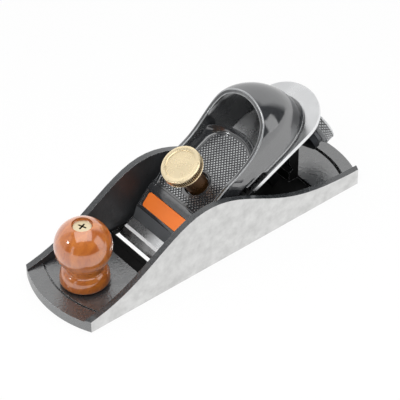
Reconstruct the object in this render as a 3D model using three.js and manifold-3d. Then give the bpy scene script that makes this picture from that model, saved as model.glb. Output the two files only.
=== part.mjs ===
// Low-angle hand plane: an iron body with two cheeks, a bevel-up blade on a sloping bed,
// a hooded lever cap held by a brass thumbscrew, a turned front knob and a depth adjuster.
// Millimetres. +X points to the toe, +Y to one cheek, +Z up. The origin is the middle of the sole.
//
// Pieces behind the mouth are drawn in the bed's own frame: "station" runs up the bed from the
// line where the bed plane meets the sole, and "height" stands square to the bed plane.
import * as THREE from 'three';
import { mergeVertices } from 'three/addons/utils/BufferGeometryUtils.js';
import Module from 'manifold-3d';

const wasm = await Module();
wasm.setup();

// ---- driving dimensions -------------------------------------------------------------------

const restGap = 0.3; // left between two pieces that rest on each other
const boreGap = 0.4; // left around a screw or a spindle in its bore

// body casting
const bodyLength = 178;
const bodyWidth = 51.2;
const endBulge = 6.2; // how far each end curves out past its corners
const cheekThickness = 3.2;
const soleThickness = 3;
const cheekPeak = 36.2;
const cheekPeakForward = 12;
const cheekSpread = 43.5;
const toeCheekHeight = 4;
const heelCheekHeight = 8.8;

// toe of the body
const toeDeckHeight = 5.4;
const toeDeckLength = 44;
const toeStripWidth = 8;
const stripGrooveWidth = 1;
const stripGrooveDepth = 1;
const padChannelWidth = 1.8;
const padChannelDepth = 1.4;

// mouth and bed
const bedAngle = 25.4;
const bedForward = 31.5; // where the bed plane meets the sole
const mouthLength = 4.4;
const mouthWidth = 42;
const mouthLipWidth = 2.9;
const mouthLipHeight = 3.2;
const rampLength = 24;
const pedestalAhead = 6; // of the clamp screw's station
const pedestalBehind = 13;
const pedestalWidth = 20;

// heel of the body
const heelDeckHeight = 4.5;
const heelDeckLength = 28.5;
const heelGrooveInset = 6.6;
const heelGrooveWidth = 1.8;
const heelGrooveDepth = 0.7;
const postFront = 55; // behind the middle of the sole
const postThickness = 6;
const postWidth = 11;
const bearingFront = 84.4; // station where the spindle enters the post
const bearingLength = 4.1;

// blade
const bladeWidth = 39.7;
const bladeThickness = 2.2;
const bladeLength = 113.7;
const bladeEdgeRetreat = 0.4;
const bladeEdgeLand = 0.1;
const bladeBevelAngle = 28;
const bladeRoundLength = 18.7;
const bladeRoundPower = 2.05;
const bladeSlotWidth = 11;
const bladeSlotFront = 32;
const bladeSlotRear = 66;
const notchPitch = 2.8;
const notchCount = 5;
const notchWidth = 1.6;
const notchDepth = 0.9;
const notchLength = 14;

// lever cap
const capWidth = 39.4;
const capFootWidth = 36; // across the skirt where it meets the blade
const capWall = 2.2;
const capToe = 10.4; // station of the front contact line
const capToeContact = 3.2;
const capChamferLength = 4.8;
const capChamferHeight = 4.4;
const capSlopeLength = 10.6;
const panelFront = 28.6;
const panelHeight = 11.4;
const panelThickness = 3.6;
const railSlopeWidth = 3.6;
const panelWidth = 29;
const panelRound = 62; // station where the rounded rear of the panel begins
const panelFlare = 54; // ahead of this station the panel widens towards the front
const panelFlareFront = 32;
const lipRoundLength = 12;
const lipRise = 2;
const lipThickness = 1.5;
const railHeight = 17.7;
const railRear = 49.6;
const railDepth = 4.1;
const hoodHeight = 34.5;
const hoodShoulder = 19.7; // height at which the hood starts to curve over
const hoodCrown = 87.5; // station where the rim reaches the crown
const hoodRimPower = 2.1;
const railDropPower = 1.5;
const hoodRound = 78.5; // station where the rounded rear end begins
const hoodRear = 104;
const hoodFootPower = 2.2;
const hoodTopPower = 1.8;
const flangeHeight = 1.2;
const flangeProud = 1.6;
const archRear = 56;
const archRun = 5.5;
const railFront = 8; // behind the front of the panel, the rail leaves it
const panelEdge = 0.8; // rib under each edge of the panel
const skirtStep = 67.5;
const skirtStepRise = 2.1;

// badge on the slope of the cap
const badgeLength = 7.8;
const badgeWidth = 34;
const badgeThickness = 0.8;
const badgeCorner = 1.4;
const badgeProud = 0.3;

// clamp screw
const clampStation = 41.73;
const clampLean = 3.9; // towards the toe, away from square to the bed
const clampTop = 31.2;
const clampHeadRadius = 10.2;
const clampHeadThickness = 4.6;
const clampDishRadius = 7.6;
const clampDishDepth = 0.5;
const clampStemRadius = 5.5;
const clampThreadRadius = 4;
const clampThreadEnd = -9;
const clampSeatDepth = 3;
const clampSeatGap = 0.9;
const clampBeadWidth = 0.9;
const clampBeadHeight = 0.4;
const clampWasherThickness = 0.8;
const clampRingThickness = 0.9;
const clampRingRadius = 6;
const clampRingGroove = 0.8;
const clampBossDepth = 2;
const clampBossRadius = 9;

// front knob
const knobForward = 67;
const knobBallRadius = 13.84;
const knobBallHeight = 27.24;
const knobNeckRadius = 9.4;
const knobBeadRadius = 12.1;
const knobBeadThickness = 5.2;
const knobScrewRadius = 2.5;
const knobScrewHeadRadius = 4.6;
const knobScrewHeadDepth = 2.4;
const knobScrewSink = 1.1;
const knobThreadDepth = 4;
const crossSlotWidth = 0.9;
const crossSlotLength = 4.6;
const crossSlotDepth = 1.2;

// depth adjuster
const spindleDrop = 21.9; // spindle axis below the bed plane
const spindleRadius = 3;
const spindleFront = 66;
const spindleWaistRadius = 2.6; // behind the post
const spindleShoulderRadius = 3.9;
const spindleShoulderThickness = 2;
const collarRadius = 9.6;
const collarRear = 102;
const collarThickness = 3;
const collarTaper = 3.1;
const collarFootRadius = 3.6;
const wheelRadius = 11.5;
const wheelThickness = 6.2;
const wheelChamfer = 1.2;
const wheelRounding = 1.9;
const wheelDish = 1.4;
const wheelDishRadius = 7;
const wheelWasherThickness = 2;
const wheelWasherRadius = 9;
const clipThickness = 0.8;
const clipRadius = 5.2;
const clipGroove = 0.8;
const blockStation = 74;
const blockThickness = 6;
const blockWidth = 10;
const blockBelowSpindle = 6.5;
const blockTopGap = 0.6;
const tongueEntry = 0.6;
const wheelScrewRadius = 1.5;
const wheelScrewLength = 8;
const wheelScrewHeadRadius = 4.2;
const wheelScrewHeadThickness = 1.8;
const driverSlotWidth = 0.9;
const driverSlotDepth = 0.9;

// facets
const roundSides = 32;
const arcSides = 12;
const cheekSteps = 36;
const hoodSides = 40;
const hoodLevels = 12;
const crownFlat = 0.05; // the crown stops this far short of a knife edge

// ---- values worked out from them -----------------------------------------------------------

const degrees = Math.PI / 180;
const overrun = 1; // how far a cutter reaches past the face it opens
const weld = 0.5; // how far a feature of a casting sinks into its neighbour
const halfLength = bodyLength / 2;
const halfWidth = bodyWidth / 2;
const innerHalf = halfWidth - cheekThickness;
const endRadius = (halfWidth ** 2 + endBulge ** 2) / (2 * endBulge);
const endCentre = halfLength - endRadius;
const bedSin = Math.sin(bedAngle * degrees);
const bedCos = Math.cos(bedAngle * degrees);
const mouthRear = bedForward - restGap / bedSin;
const mouthFront = mouthRear + mouthLength;
const bearingRear = bearingFront + bearingLength;
const capHalf = capWidth / 2;
const capSole = bladeThickness + restGap;
const railDrop = railHeight - panelHeight;
const slopeStart = [capToe + capChamferLength, capSole + capChamferHeight];
const slopeEnd = [slopeStart[0] + capSlopeLength, panelHeight];
const slopeAngle = Math.atan2(slopeEnd[1] - slopeStart[1], slopeEnd[0] - slopeStart[0]);
const clampSeat = panelHeight - clampSeatDepth;
const clampWasherLow = clampSeat + restGap;
const clampShoulder = clampWasherLow + clampWasherThickness + restGap;
const clampBossLow = panelHeight - panelThickness - clampBossDepth;
const clampRingLow = clampBossLow - restGap - clampRingThickness;
const clampSeatRadius = clampStemRadius + clampSeatGap;
const clipFront = bearingFront - restGap - clipThickness;
const wheelFront = collarRear + restGap + wheelWasherThickness + restGap;
const wheelRear = wheelFront + wheelThickness;
const knobBase = toeDeckHeight + restGap;
const knobFaceRadius = knobScrewHeadRadius + boreGap;
const knobTop = knobBallHeight + Math.sqrt(knobBallRadius ** 2 - knobFaceRadius ** 2);
const knobScrewTop = knobTop - knobScrewSink;

const bedFrame = new THREE.Matrix4()
  .makeRotationFromEuler(new THREE.Euler(0, bedAngle * degrees, Math.PI))
  .setPosition(bedForward, 0, 0);
const clampFrame = new THREE.Matrix4()
  .makeRotationY(-clampLean * degrees)
  .setPosition(clampStation, 0, 0);

// ---- shaping helpers -----------------------------------------------------------------------

// Six times the volume that a triangle list encloses, negative when it is inside out.
function signedVolume(positions, corners) {
  const [a, b, c] = [new THREE.Vector3(), new THREE.Vector3(), new THREE.Vector3()];
  let total = 0;
  for (let i = 0; i < corners.length; i += 3) {
    a.fromArray(positions, 3 * corners[i]);
    b.fromArray(positions, 3 * corners[i + 1]);
    c.fromArray(positions, 3 * corners[i + 2]);
    total += a.dot(b.cross(c));
  }
  return total;
}

// Makes a closed three.js geometry a solid, with its faces turned outwards.
function solid(geometry) {
  const bare = geometry.clone();
  bare.deleteAttribute('normal');
  bare.deleteAttribute('uv');
  const merged = mergeVertices(bare, 1e-4);
  const positions = merged.getAttribute('position').array;
  const index = merged.index.array;
  const corners = [];
  for (let i = 0; i < index.length; i += 3) {
    const [a, b, c] = [index[i], index[i + 1], index[i + 2]];
    if (a !== b && b !== c && c !== a) {
      corners.push(a, b, c);
    }
  }
  if (signedVolume(positions, corners) < 0) {
    corners.reverse();
  }
  return new wasm.Manifold(new wasm.Mesh({
    numProp: 3,
    vertProperties: new Float32Array(positions),
    triVerts: new Uint32Array(corners),
  }));
}

// Turns a finished solid back into a three.js geometry.
function geometryOf(shape) {
  const mesh = shape.getMesh();
  const geometry = new THREE.BufferGeometry();
  geometry.setAttribute('position', new THREE.BufferAttribute(mesh.vertProperties, 3));
  geometry.setIndex(new THREE.BufferAttribute(mesh.triVerts, 1));
  geometry.computeVertexNormals();
  return geometry;
}

function joined(first, ...others) {
  return others.reduce((sum, next) => sum.add(next), first);
}

function without(first, ...cutters) {
  return cutters.reduce((rest, cutter) => rest.subtract(cutter), first);
}

// A drawn outline: the points are [across, up] pairs.
function outline(points) {
  return new THREE.Shape(points.map(([across, up]) => new THREE.Vector2(across, up)));
}

// Stands an outline of (forward, height) on edge and thickens it from one side to the other.
function sideSlab(shape, sideLow, sideHigh, frame) {
  const geometry = new THREE.ExtrudeGeometry(shape, {
    depth: sideHigh - sideLow,
    bevelEnabled: false,
    curveSegments: arcSides,
  });
  geometry.rotateX(Math.PI / 2);
  geometry.translate(0, sideHigh, 0);
  if (frame) {
    geometry.applyMatrix4(frame);
  }
  return solid(geometry);
}

// Raises an outline of (forward, sideways) from one height to another.
function planSlab(shape, low, high, frame) {
  const geometry = new THREE.ExtrudeGeometry(shape, {
    depth: high - low,
    bevelEnabled: false,
    curveSegments: arcSides,
  });
  geometry.translate(0, 0, low);
  if (frame) {
    geometry.applyMatrix4(frame);
  }
  return solid(geometry);
}

function block(forward, side, height, frame) {
  const geometry = new THREE.BoxGeometry(
    forward[1] - forward[0],
    side[1] - side[0],
    height[1] - height[0],
  );
  geometry.translate(
    (forward[0] + forward[1]) / 2,
    (side[0] + side[1]) / 2,
    (height[0] + height[1]) / 2,
  );
  if (frame) {
    geometry.applyMatrix4(frame);
  }
  return solid(geometry);
}

// A round bar along +Z, or along +X where lying is true.
function bar(radius, low, high, { lying = false, frame = null, sides = roundSides } = {}) {
  const geometry = new THREE.CylinderGeometry(radius, radius, high - low, sides);
  geometry.rotateX(Math.PI / 2);
  geometry.translate(0, 0, (low + high) / 2);
  if (lying) {
    geometry.rotateY(Math.PI / 2);
  }
  if (frame) {
    geometry.applyMatrix4(frame);
  }
  return solid(geometry);
}

// Spins [radius, height] points round the Z axis.
function turned(points, sides = roundSides) {
  const profile = points.map(([radius, height]) => new THREE.Vector2(radius, height));
  const geometry = new THREE.LatheGeometry(profile, sides);
  geometry.rotateX(Math.PI / 2);
  return solid(geometry);
}

function arcPoints(centre, radius, from, to, steps) {
  const points = [];
  for (let i = 0; i <= steps; i += 1) {
    const angle = from + ((to - from) * i) / steps;
    points.push([centre[0] + radius * Math.cos(angle), centre[1] + radius * Math.sin(angle)]);
  }
  return points;
}

// Washer or ring with a square section, around the Z axis.
function ring(innerRadius, outerRadius, low, high) {
  return bar(outerRadius, low, high).subtract(bar(innerRadius, low - overrun, high + overrun));
}

// Where a point of the bed's frame lies in the side view of the whole plane.
function bedPoint(station, height) {
  return [
    bedForward - station * bedCos + height * bedSin,
    station * bedSin + height * bedCos,
  ];
}

// ---- body ----------------------------------------------------------------------------------

function cheekHeightAt(forward) {
  const foot = forward > cheekPeakForward ? toeCheekHeight : heelCheekHeight;
  const reach = (forward - cheekPeakForward) / cheekSpread;
  return foot + (cheekPeak - foot) * Math.exp(-reach * reach);
}

function soleOutline() {
  const halfAngle = Math.asin(halfWidth / endRadius);
  return outline([
    ...arcPoints([endCentre, 0], endRadius, -halfAngle, halfAngle, 2 * arcSides),
    ...arcPoints([-endCentre, 0], endRadius, Math.PI - halfAngle, Math.PI + halfAngle, 2 * arcSides),
  ]);
}

function cheekOutline() {
  const points = [[-halfLength, -overrun], [halfLength, -overrun]];
  for (let i = 0; i <= cheekSteps; i += 1) {
    const forward = halfLength - (bodyLength * i) / cheekSteps;
    points.push([forward, cheekHeightAt(forward)]);
  }
  return outline(points);
}

// The part of the end of the sole, up to a height, between two distances from the middle.
function endDeck(from, to, height) {
  const deck = planSlab(soleOutline(), 0, height);
  return deck.intersect(block([from, to], [-innerHalf - weld, innerHalf + weld], [0, height]));
}

// A groove that follows the curve of an end; direction is 1 at the toe and -1 at the heel.
function endGroove(direction, inset, width, depth, deckHeight) {
  const outer = endRadius - inset;
  const inner = outer - width;
  const outerAngle = Math.asin(innerHalf / outer);
  const innerAngle = Math.asin(innerHalf / inner);
  const points = [
    ...arcPoints([endCentre, 0], outer, -outerAngle, outerAngle, 2 * arcSides),
    ...arcPoints([endCentre, 0], inner, innerAngle, -innerAngle, 2 * arcSides),
  ];
  const shape = outline(points.map(([forward, side]) => [direction * forward, side]));
  return planSlab(shape, deckHeight - depth, deckHeight + overrun);
}

function toeDeck() {
  const deckRear = halfLength - toeDeckLength;
  const channelInner = innerHalf - padChannelWidth;
  const grooveRadius = endRadius - toeStripWidth - stripGrooveWidth / 2;
  const channelFront = endCentre + Math.sqrt(grooveRadius ** 2 - innerHalf ** 2);
  const channelFloor = toeDeckHeight - padChannelDepth;
  const channels = [-1, 1].map((side) => block(
    [deckRear - overrun, channelFront],
    [Math.min(side * channelInner, side * innerHalf), Math.max(side * channelInner, side * innerHalf)],
    [channelFloor, toeDeckHeight + overrun],
  ));
  const groove = endGroove(1, toeStripWidth, stripGrooveWidth, stripGrooveDepth, toeDeckHeight);
  return without(endDeck(deckRear, halfLength + overrun, toeDeckHeight), groove, ...channels);
}

function heelDeck() {
  const groove = endGroove(-1, heelGrooveInset, heelGrooveWidth, heelGrooveDepth, heelDeckHeight);
  return endDeck(-halfLength - overrun, heelDeckLength - halfLength, heelDeckHeight).subtract(groove);
}

function bedRamp() {
  const [rampRear, rampTop] = bedPoint(rampLength, -restGap);
  const shape = outline([[mouthRear, 0], [rampRear, rampTop], [rampRear, 0]]);
  return sideSlab(shape, -innerHalf - weld, innerHalf + weld);
}

function clampPedestal() {
  const [front, frontTop] = bedPoint(clampStation - pedestalAhead, -restGap);
  const [rear, rearTop] = bedPoint(clampStation + pedestalBehind, -restGap);
  const shape = outline([[front, weld], [front, frontTop], [rear, rearTop], [rear, weld]]);
  return sideSlab(shape, -pedestalWidth / 2, pedestalWidth / 2);
}

// The upright post that the blade rests on and the adjuster's spindle passes through.
function adjusterPost() {
  const onBed = (x) => [x, bedHeightAt(x)];
  const shape = outline([
    [-postFront, weld],
    onBed(-postFront),
    onBed(-postFront - postThickness),
    [-postFront - postThickness, weld],
  ]);
  const post = sideSlab(shape, -postWidth / 2, postWidth / 2);
  // the front is milled flat round the spindle, to clear the clip and the nut
  const flat = block(
    [bearingFront - postThickness, bearingFront],
    [-postWidth, postWidth],
    [-spindleDrop - blockBelowSpindle - overrun, -spindleDrop + clipRadius + overrun],
    bedFrame,
  );
  return post.subtract(flat);
}

// Height just under the bed plane at a distance x from the middle of the sole.
function bedHeightAt(x) {
  return ((bedForward - x) * bedSin - restGap) / bedCos;
}

// The spindle's bore, with a pocket from the rear for its shoulder.
function spindleBore() {
  const pocketRadius = spindleShoulderRadius + boreGap;
  const placed = { lying: true, frame: spindleToBody() };
  return bar(spindleRadius + boreGap, bearingFront - overrun, bearingRear + overrun, placed)
    .add(bar(pocketRadius, bearingRear, bearingRear + 2 * postThickness, placed));
}

function spindleToBody() {
  return bedFrame.clone().multiply(new THREE.Matrix4().makeTranslation(0, 0, -spindleDrop));
}

// Opens the mouth through the sole and clears the bed above the ramp.
function mouthOpening() {
  const below = bedPoint(-2 * overrun, -restGap);
  const clearTop = mouthLipHeight + overrun;
  const clearStation = (clearTop + restGap * bedCos) / bedSin;
  const shape = outline([
    below,
    [mouthFront, below[1]],
    [mouthFront, clearTop],
    bedPoint(clearStation, -restGap),
  ]);
  return sideSlab(shape, -mouthWidth / 2, mouthWidth / 2);
}

function bodySolid() {
  const block3d = planSlab(soleOutline(), 0, cheekPeak + overrun);
  const casting = block3d.intersect(sideSlab(cheekOutline(), -halfWidth, halfWidth));
  const pocket = block(
    [-halfLength - overrun, halfLength + overrun],
    [-innerHalf, innerHalf],
    [soleThickness, cheekPeak + overrun],
  );
  const lip = block(
    [mouthFront, mouthFront + mouthLipWidth],
    [-innerHalf - weld, innerHalf + weld],
    [weld, mouthLipHeight],
  );
  const clampToBody = bedFrame.clone().multiply(clampFrame);
  const clampBore = bar(
    clampThreadRadius + boreGap,
    clampThreadEnd - 2 * overrun,
    overrun,
    { frame: clampToBody },
  );
  const knobThread = bar(
    knobScrewRadius + boreGap,
    toeDeckHeight - knobThreadDepth,
    toeDeckHeight + overrun,
  ).translate([knobForward, 0, 0]);
  const whole = joined(
    casting.subtract(pocket),
    toeDeck(),
    heelDeck(),
    lip,
    bedRamp(),
    clampPedestal(),
    adjusterPost(),
  );
  return without(whole, mouthOpening(), knobThread, clampBore, spindleBore());
}

// ---- blade ---------------------------------------------------------------------------------

function bladeOutline() {
  const roundStart = bladeEdgeRetreat + bladeLength - bladeRoundLength;
  const points = [[bladeEdgeRetreat, -bladeWidth / 2]];
  const steps = 2 * arcSides;
  for (let i = 0; i <= steps; i += 1) {
    const angle = (Math.PI * i) / steps - Math.PI / 2;
    const reach = Math.cos(angle) ** (2 / bladeRoundPower);
    const spread = Math.sign(angle) * Math.abs(Math.sin(angle)) ** (2 / bladeRoundPower);
    points.push([roundStart + bladeRoundLength * reach, (bladeWidth / 2) * spread]);
  }
  points.push([bladeEdgeRetreat, bladeWidth / 2]);
  return outline(points);
}

function roundedSlot(from, to, width) {
  const radius = width / 2;
  return outline([
    ...arcPoints([from + radius, 0], radius, Math.PI / 2, 1.5 * Math.PI, arcSides),
    ...arcPoints([to - radius, 0], radius, -Math.PI / 2, Math.PI / 2, arcSides),
  ]);
}

function bladeSolid() {
  const plate = planSlab(bladeOutline(), 0, bladeThickness);
  const bevelLength = (bladeThickness - bladeEdgeLand) / Math.tan(bladeBevelAngle * degrees);
  const bevel = sideSlab(outline([
    [bladeEdgeRetreat - overrun, bladeEdgeLand],
    [bladeEdgeRetreat, bladeEdgeLand],
    [bladeEdgeRetreat + bevelLength, bladeThickness],
    [bladeEdgeRetreat + bevelLength, bladeThickness + overrun],
    [bladeEdgeRetreat - overrun, bladeThickness + overrun],
  ]), -bladeWidth / 2 - overrun, bladeWidth / 2 + overrun);
  const slot = planSlab(
    roundedSlot(bladeSlotFront, bladeSlotRear, bladeSlotWidth),
    -overrun,
    bladeThickness + overrun,
  );
  const notches = [];
  for (let i = 0; i < notchCount; i += 1) {
    const station = blockStation + (i - (notchCount - 1) / 2) * notchPitch;
    notches.push(block(
      [station - notchWidth / 2, station + notchWidth / 2],
      [-notchLength / 2, notchLength / 2],
      [-overrun, notchDepth],
    ));
  }
  return without(plate, bevel, slot, ...notches);
}

// ---- lever cap -----------------------------------------------------------------------------

// The hood before it is cut: straight flanks, an arched top and a rounded rear end.
// Each ring of a cylinder becomes one level of the hood.
function hoodBlank(inset, front, floor) {
  const geometry = new THREE.CylinderGeometry(1, 1, 1, hoodSides, hoodLevels);
  geometry.rotateX(Math.PI / 2);
  const position = geometry.getAttribute('position');
  const top = hoodHeight - inset;
  for (let i = 0; i < position.count; i += 1) {
    const rise = Math.sin((position.getZ(i) + 0.5) * (Math.PI / 2));
    const height = floor + (top - crownFlat - floor) * rise;
    const angle = Math.atan2(position.getY(i), position.getX(i));
    const onAxis = Math.hypot(position.getX(i), position.getY(i)) < 0.5;
    const [station, side] = onAxis ? [hoodRound, 0] : hoodPoint(angle, height, inset, front);
    position.setXYZ(i, station, side, height);
  }
  return solid(geometry);
}

function hoodPoint(angle, height, inset, front) {
  const top = hoodHeight - inset;
  const rise = Math.max(0, (height - capSole) / (top - capSole));
  const footHalf = capFootWidth / 2 - inset;
  const wideHalf = capHalf - inset;
  const flank = Math.min(1, (height - capSole) / (hoodShoulder - capSole));
  const arch = Math.max(0, (height - hoodShoulder) / (top - hoodShoulder));
  const half = (footHalf + (wideHalf - footHalf) * flank) * Math.sqrt(1 - arch * arch);
  const rearReach = (hoodRear - inset - hoodRound) * Math.sqrt(1 - rise * rise);
  const cosine = Math.cos(angle);
  const sine = Math.sin(angle);
  if (cosine < -1e-6) {
    const frontPower = 16;
    const reach = (hoodRound - front) * Math.abs(cosine) ** (2 / frontPower);
    return [hoodRound - reach, half * Math.sign(sine) * Math.abs(sine) ** (2 / frontPower)];
  }
  const power = hoodFootPower + (hoodTopPower - hoodFootPower) * rise;
  const reach = rearReach * Math.max(0, cosine) ** (2 / power);
  return [hoodRound + reach, half * Math.sign(sine) * Math.abs(sine) ** (2 / power)];
}

// Height of the rim's edge at a station: a low rail at the front that sweeps up to the crown.
function rimHeightAt(station) {
  if (station < railRear) {
    const fall = Math.min(1, (railRear - station) / (railRear - panelFront));
    return railHeight - railDrop * fall ** railDropPower;
  }
  const reach = (station - railRear) / (hoodCrown - railRear);
  return railHeight + (hoodHeight - railHeight) * reach ** hoodRimPower;
}

// Everything under the rim, as a slab across the cap.
function underRim() {
  const points = [[panelFront - 3 * overrun, -overrun]];
  const steps = 2 * arcSides;
  for (let i = 0; i <= steps; i += 1) {
    const station = panelFront - 3 * overrun + (hoodCrown + overrun - panelFront + 3 * overrun) * (i / steps);
    points.push([station, rimHeightAt(station)]);
  }
  points.push([hoodRear + 5 * overrun, hoodHeight + 2 * overrun]);
  points.push([hoodRear + 5 * overrun, -overrun]);
  return sideSlab(outline(points), -capHalf - overrun, capHalf + overrun);
}

// The arch that opens both flanks ahead of the skirt and leaves a rail along the top.
function flankArch() {
  const railLow = railHeight - railDepth;
  const underside = panelHeight - panelThickness;
  const front = panelFront + railFront;
  const shape = outline([
    [capToe, -overrun],
    [archRear, -overrun],
    [archRear, capSole + skirtStepRise],
    [archRear - archRun, railLow],
    [front + archRun, railLow],
    [front, underside],
    [capToe, underside],
  ]);
  return sideSlab(shape, -capHalf - overrun, capHalf + overrun);
}

// The raised stretch of the skirt in front of the part that bears on the blade.
function skirtRelief() {
  return block(
    [archRear - overrun, skirtStep],
    [-capHalf - overrun, capHalf + overrun],
    [-overrun, capSole + skirtStepRise],
  );
}

// The rounded rear end of an outline, from its -Y side to its +Y side.
function halfEllipse(start, length, half) {
  const points = [];
  const steps = 2 * arcSides;
  for (let i = 0; i <= steps; i += 1) {
    const angle = (Math.PI * i) / steps - Math.PI / 2;
    points.push([start + length * Math.cos(angle), half * Math.sin(angle)]);
  }
  return points;
}

// An outline with straight sides, a square front and a rounded rear end.
function roundRear(start, length, half, front) {
  return outline([[front, -half], ...halfEllipse(start, length, half), [front, half]]);
}

// The sloping front of the cap and the flat panel under the thumb.
function capPlate() {
  const underside = panelHeight - panelThickness;
  const rear = panelRound + lipRoundLength + overrun;
  const shape = outline([
    [capToe, capSole],
    slopeStart,
    slopeEnd,
    [rear, panelHeight],
    [rear, underside],
    [panelFront, underside],
    [capToe + capToeContact + 5, capSole + 3],
    [capToe + capToeContact, capSole],
  ]);
  const wall = capHalf - capWall;
  const flank = [
    [capToe - overrun, capHalf],
    [panelFlareFront, capHalf],
    [panelFlare, panelWidth / 2 + panelEdge],
    [archRear, panelWidth / 2 + panelEdge],
    [archRear, wall],
  ];
  const plan = outline([
    ...flank.map(([station, half]) => [station, -half]),
    ...halfEllipse(panelRound, lipRoundLength, wall),
    ...flank.reverse(),
  ]);
  return sideSlab(shape, -capHalf, capHalf).intersect(
    planSlab(plan, -overrun, panelHeight + overrun),
  );
}

// The curved upstand behind the panel.
function panelLip() {
  const crest = panelHeight + lipRise;
  const half = capHalf - capWall / 2;
  const front = panelRound;
  const outer = roundRear(panelRound, lipRoundLength, half, front);
  const inner = roundRear(
    panelRound,
    lipRoundLength - lipThickness,
    half - lipThickness,
    front - overrun,
  );
  return planSlab(outer, panelHeight - weld, crest).subtract(
    planSlab(inner, panelHeight - 2 * weld, crest + overrun),
  );
}

// The slope between the panel and the rail on one side, as a bar with a level underside.
// It leans outwards ahead of the flare, to follow the edge of the panel.
function railSlope(direction, rear, front, lean) {
  const panelHalf = panelWidth / 2;
  const low = panelHeight - panelThickness;
  const rise = railHeight - panelHeight;
  const points = [
    [panelHalf, low],
    [panelHalf, panelHeight],
    [panelHalf + railSlopeWidth, panelHeight + rise],
    [capHalf + overrun, panelHeight + rise],
    [capHalf + overrun, railHeight - railDepth],
    [panelHalf + panelEdge, low],
  ];
  const geometry = new THREE.ExtrudeGeometry(
    outline(points.map(([across, up]) => [direction * across, up])),
    { depth: rear - front, bevelEnabled: false },
  );
  geometry.rotateX(Math.PI / 2);
  geometry.rotateZ(Math.PI / 2);
  const position = geometry.getAttribute('position');
  for (let i = 0; i < position.count; i += 1) {
    const back = position.getX(i);
    position.setX(i, front + back);
    position.setY(i, position.getY(i) + direction * lean * (rear - front - back));
  }
  return solid(geometry);
}

function railSlopes() {
  const lean = (capHalf - panelWidth / 2) / (panelFlare - panelFlareFront);
  const rear = panelRound + lipRoundLength;
  const plan = planSlab(
    roundRear(panelRound, lipRoundLength, capHalf, panelFlareFront),
    0,
    hoodHeight,
  );
  const crest = sideSlab(outline([
    [panelFlareFront, 0],
    [panelFlareFront, railHeight],
    [archRear, railHeight],
    [rear, panelHeight + lipRise],
    [rear, 0],
  ]), -capHalf, capHalf);
  const limit = hoodBlank(capWall / 2, panelFront, capSole)
    .intersect(underRim())
    .intersect(plan)
    .intersect(crest);
  return [-1, 1].flatMap((direction) => [
    railSlope(direction, rear, panelFlare, 0),
    railSlope(direction, panelFlare, panelFlareFront, lean),
  ]).map((slope) => slope.intersect(limit));
}

function capFlange() {
  const rear = hoodRear + flangeProud;
  const half = capFootWidth / 2 + flangeProud / 4;
  const plan = roundRear(hoodRound, rear - hoodRound, half, skirtStep);
  const inner = roundRear(
    hoodRound,
    rear - flangeProud - capWall - hoodRound,
    capFootWidth / 2 - capWall,
    skirtStep - overrun,
  );
  return planSlab(plan, capSole, capSole + flangeHeight).subtract(
    planSlab(inner, capSole - overrun, capSole + flangeHeight + overrun),
  );
}

// The shallow seat for the badge on the slope.
function badgeSeat() {
  const length = badgeLength + 2 * restGap;
  const width = badgeWidth + 2 * restGap;
  const depth = badgeThickness + restGap - badgeProud;
  return block([-length / 2, length / 2], [-width / 2, width / 2], [-depth, overrun], badgeFrame());
}

function badgeFrame() {
  const middle = [(slopeStart[0] + slopeEnd[0]) / 2, (slopeStart[1] + slopeEnd[1]) / 2];
  return new THREE.Matrix4().makeRotationY(-slopeAngle).setPosition(middle[0], 0, middle[1]);
}

function capSolid() {
  const shell = hoodBlank(0, panelFront - 2, capSole).subtract(
    hoodBlank(capWall, panelFront - 8, -overrun),
  );
  const hood = without(shell.intersect(underRim()), skirtRelief(), flankArch());
  const clampBoss = bar(clampBossRadius, clampBossLow, panelHeight - weld, { frame: clampFrame });
  const bead = bar(
    clampSeatRadius + clampBeadWidth,
    panelHeight - weld,
    panelHeight + clampBeadHeight,
    { frame: clampFrame },
  );
  const seat = bar(clampSeatRadius, clampSeat, panelHeight + 2 * overrun, { frame: clampFrame });
  const hole = bar(clampThreadRadius + boreGap, clampBossLow - overrun, clampSeat + overrun, {
    frame: clampFrame,
  });
  const whole = joined(
    capPlate(),
    hood,
    capFlange(),
    panelLip(),
    clampBoss,
    bead,
    ...railSlopes(),
  );
  return without(whole, seat, hole, badgeSeat());
}

function badgeSolid() {
  const [halfLong, halfWide] = [badgeLength / 2, badgeWidth / 2];
  const [inLong, inWide] = [halfLong - badgeCorner, halfWide - badgeCorner];
  const turn = Math.PI / 2;
  const shape = outline([
    ...arcPoints([inLong, inWide], badgeCorner, 0, turn, 4),
    ...arcPoints([-inLong, inWide], badgeCorner, turn, 2 * turn, 4),
    ...arcPoints([-inLong, -inWide], badgeCorner, 2 * turn, 3 * turn, 4),
    ...arcPoints([inLong, -inWide], badgeCorner, 3 * turn, 4 * turn, 4),
  ]);
  return planSlab(shape, badgeProud - badgeThickness, badgeProud);
}

// ---- clamp screw and what it carries ---------------------------------------------------------

function clampScrewSolid() {
  const grooveRadius = clampThreadRadius - clampRingGroove;
  const grooveLow = clampRingLow - restGap;
  const grooveHigh = clampRingLow + clampRingThickness + restGap;
  const headLow = clampTop - clampHeadThickness;
  return turned([
    [0, clampThreadEnd],
    [clampThreadRadius - 0.6, clampThreadEnd],
    [clampThreadRadius, clampThreadEnd + 0.6],
    [clampThreadRadius, grooveLow],
    [grooveRadius, grooveLow],
    [grooveRadius, grooveHigh],
    [clampThreadRadius, grooveHigh],
    [clampThreadRadius, clampShoulder],
    [clampStemRadius, clampShoulder],
    [clampStemRadius, headLow],
    [clampHeadRadius, headLow],
    [clampHeadRadius, clampTop],
    [clampDishRadius, clampTop],
    [clampDishRadius, clampTop - clampDishDepth],
    [0, clampTop - clampDishDepth],
  ]);
}

function clampWasherSolid() {
  const low = clampWasherLow;
  return ring(clampThreadRadius + restGap, clampStemRadius + restGap, low, low + clampWasherThickness);
}

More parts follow.
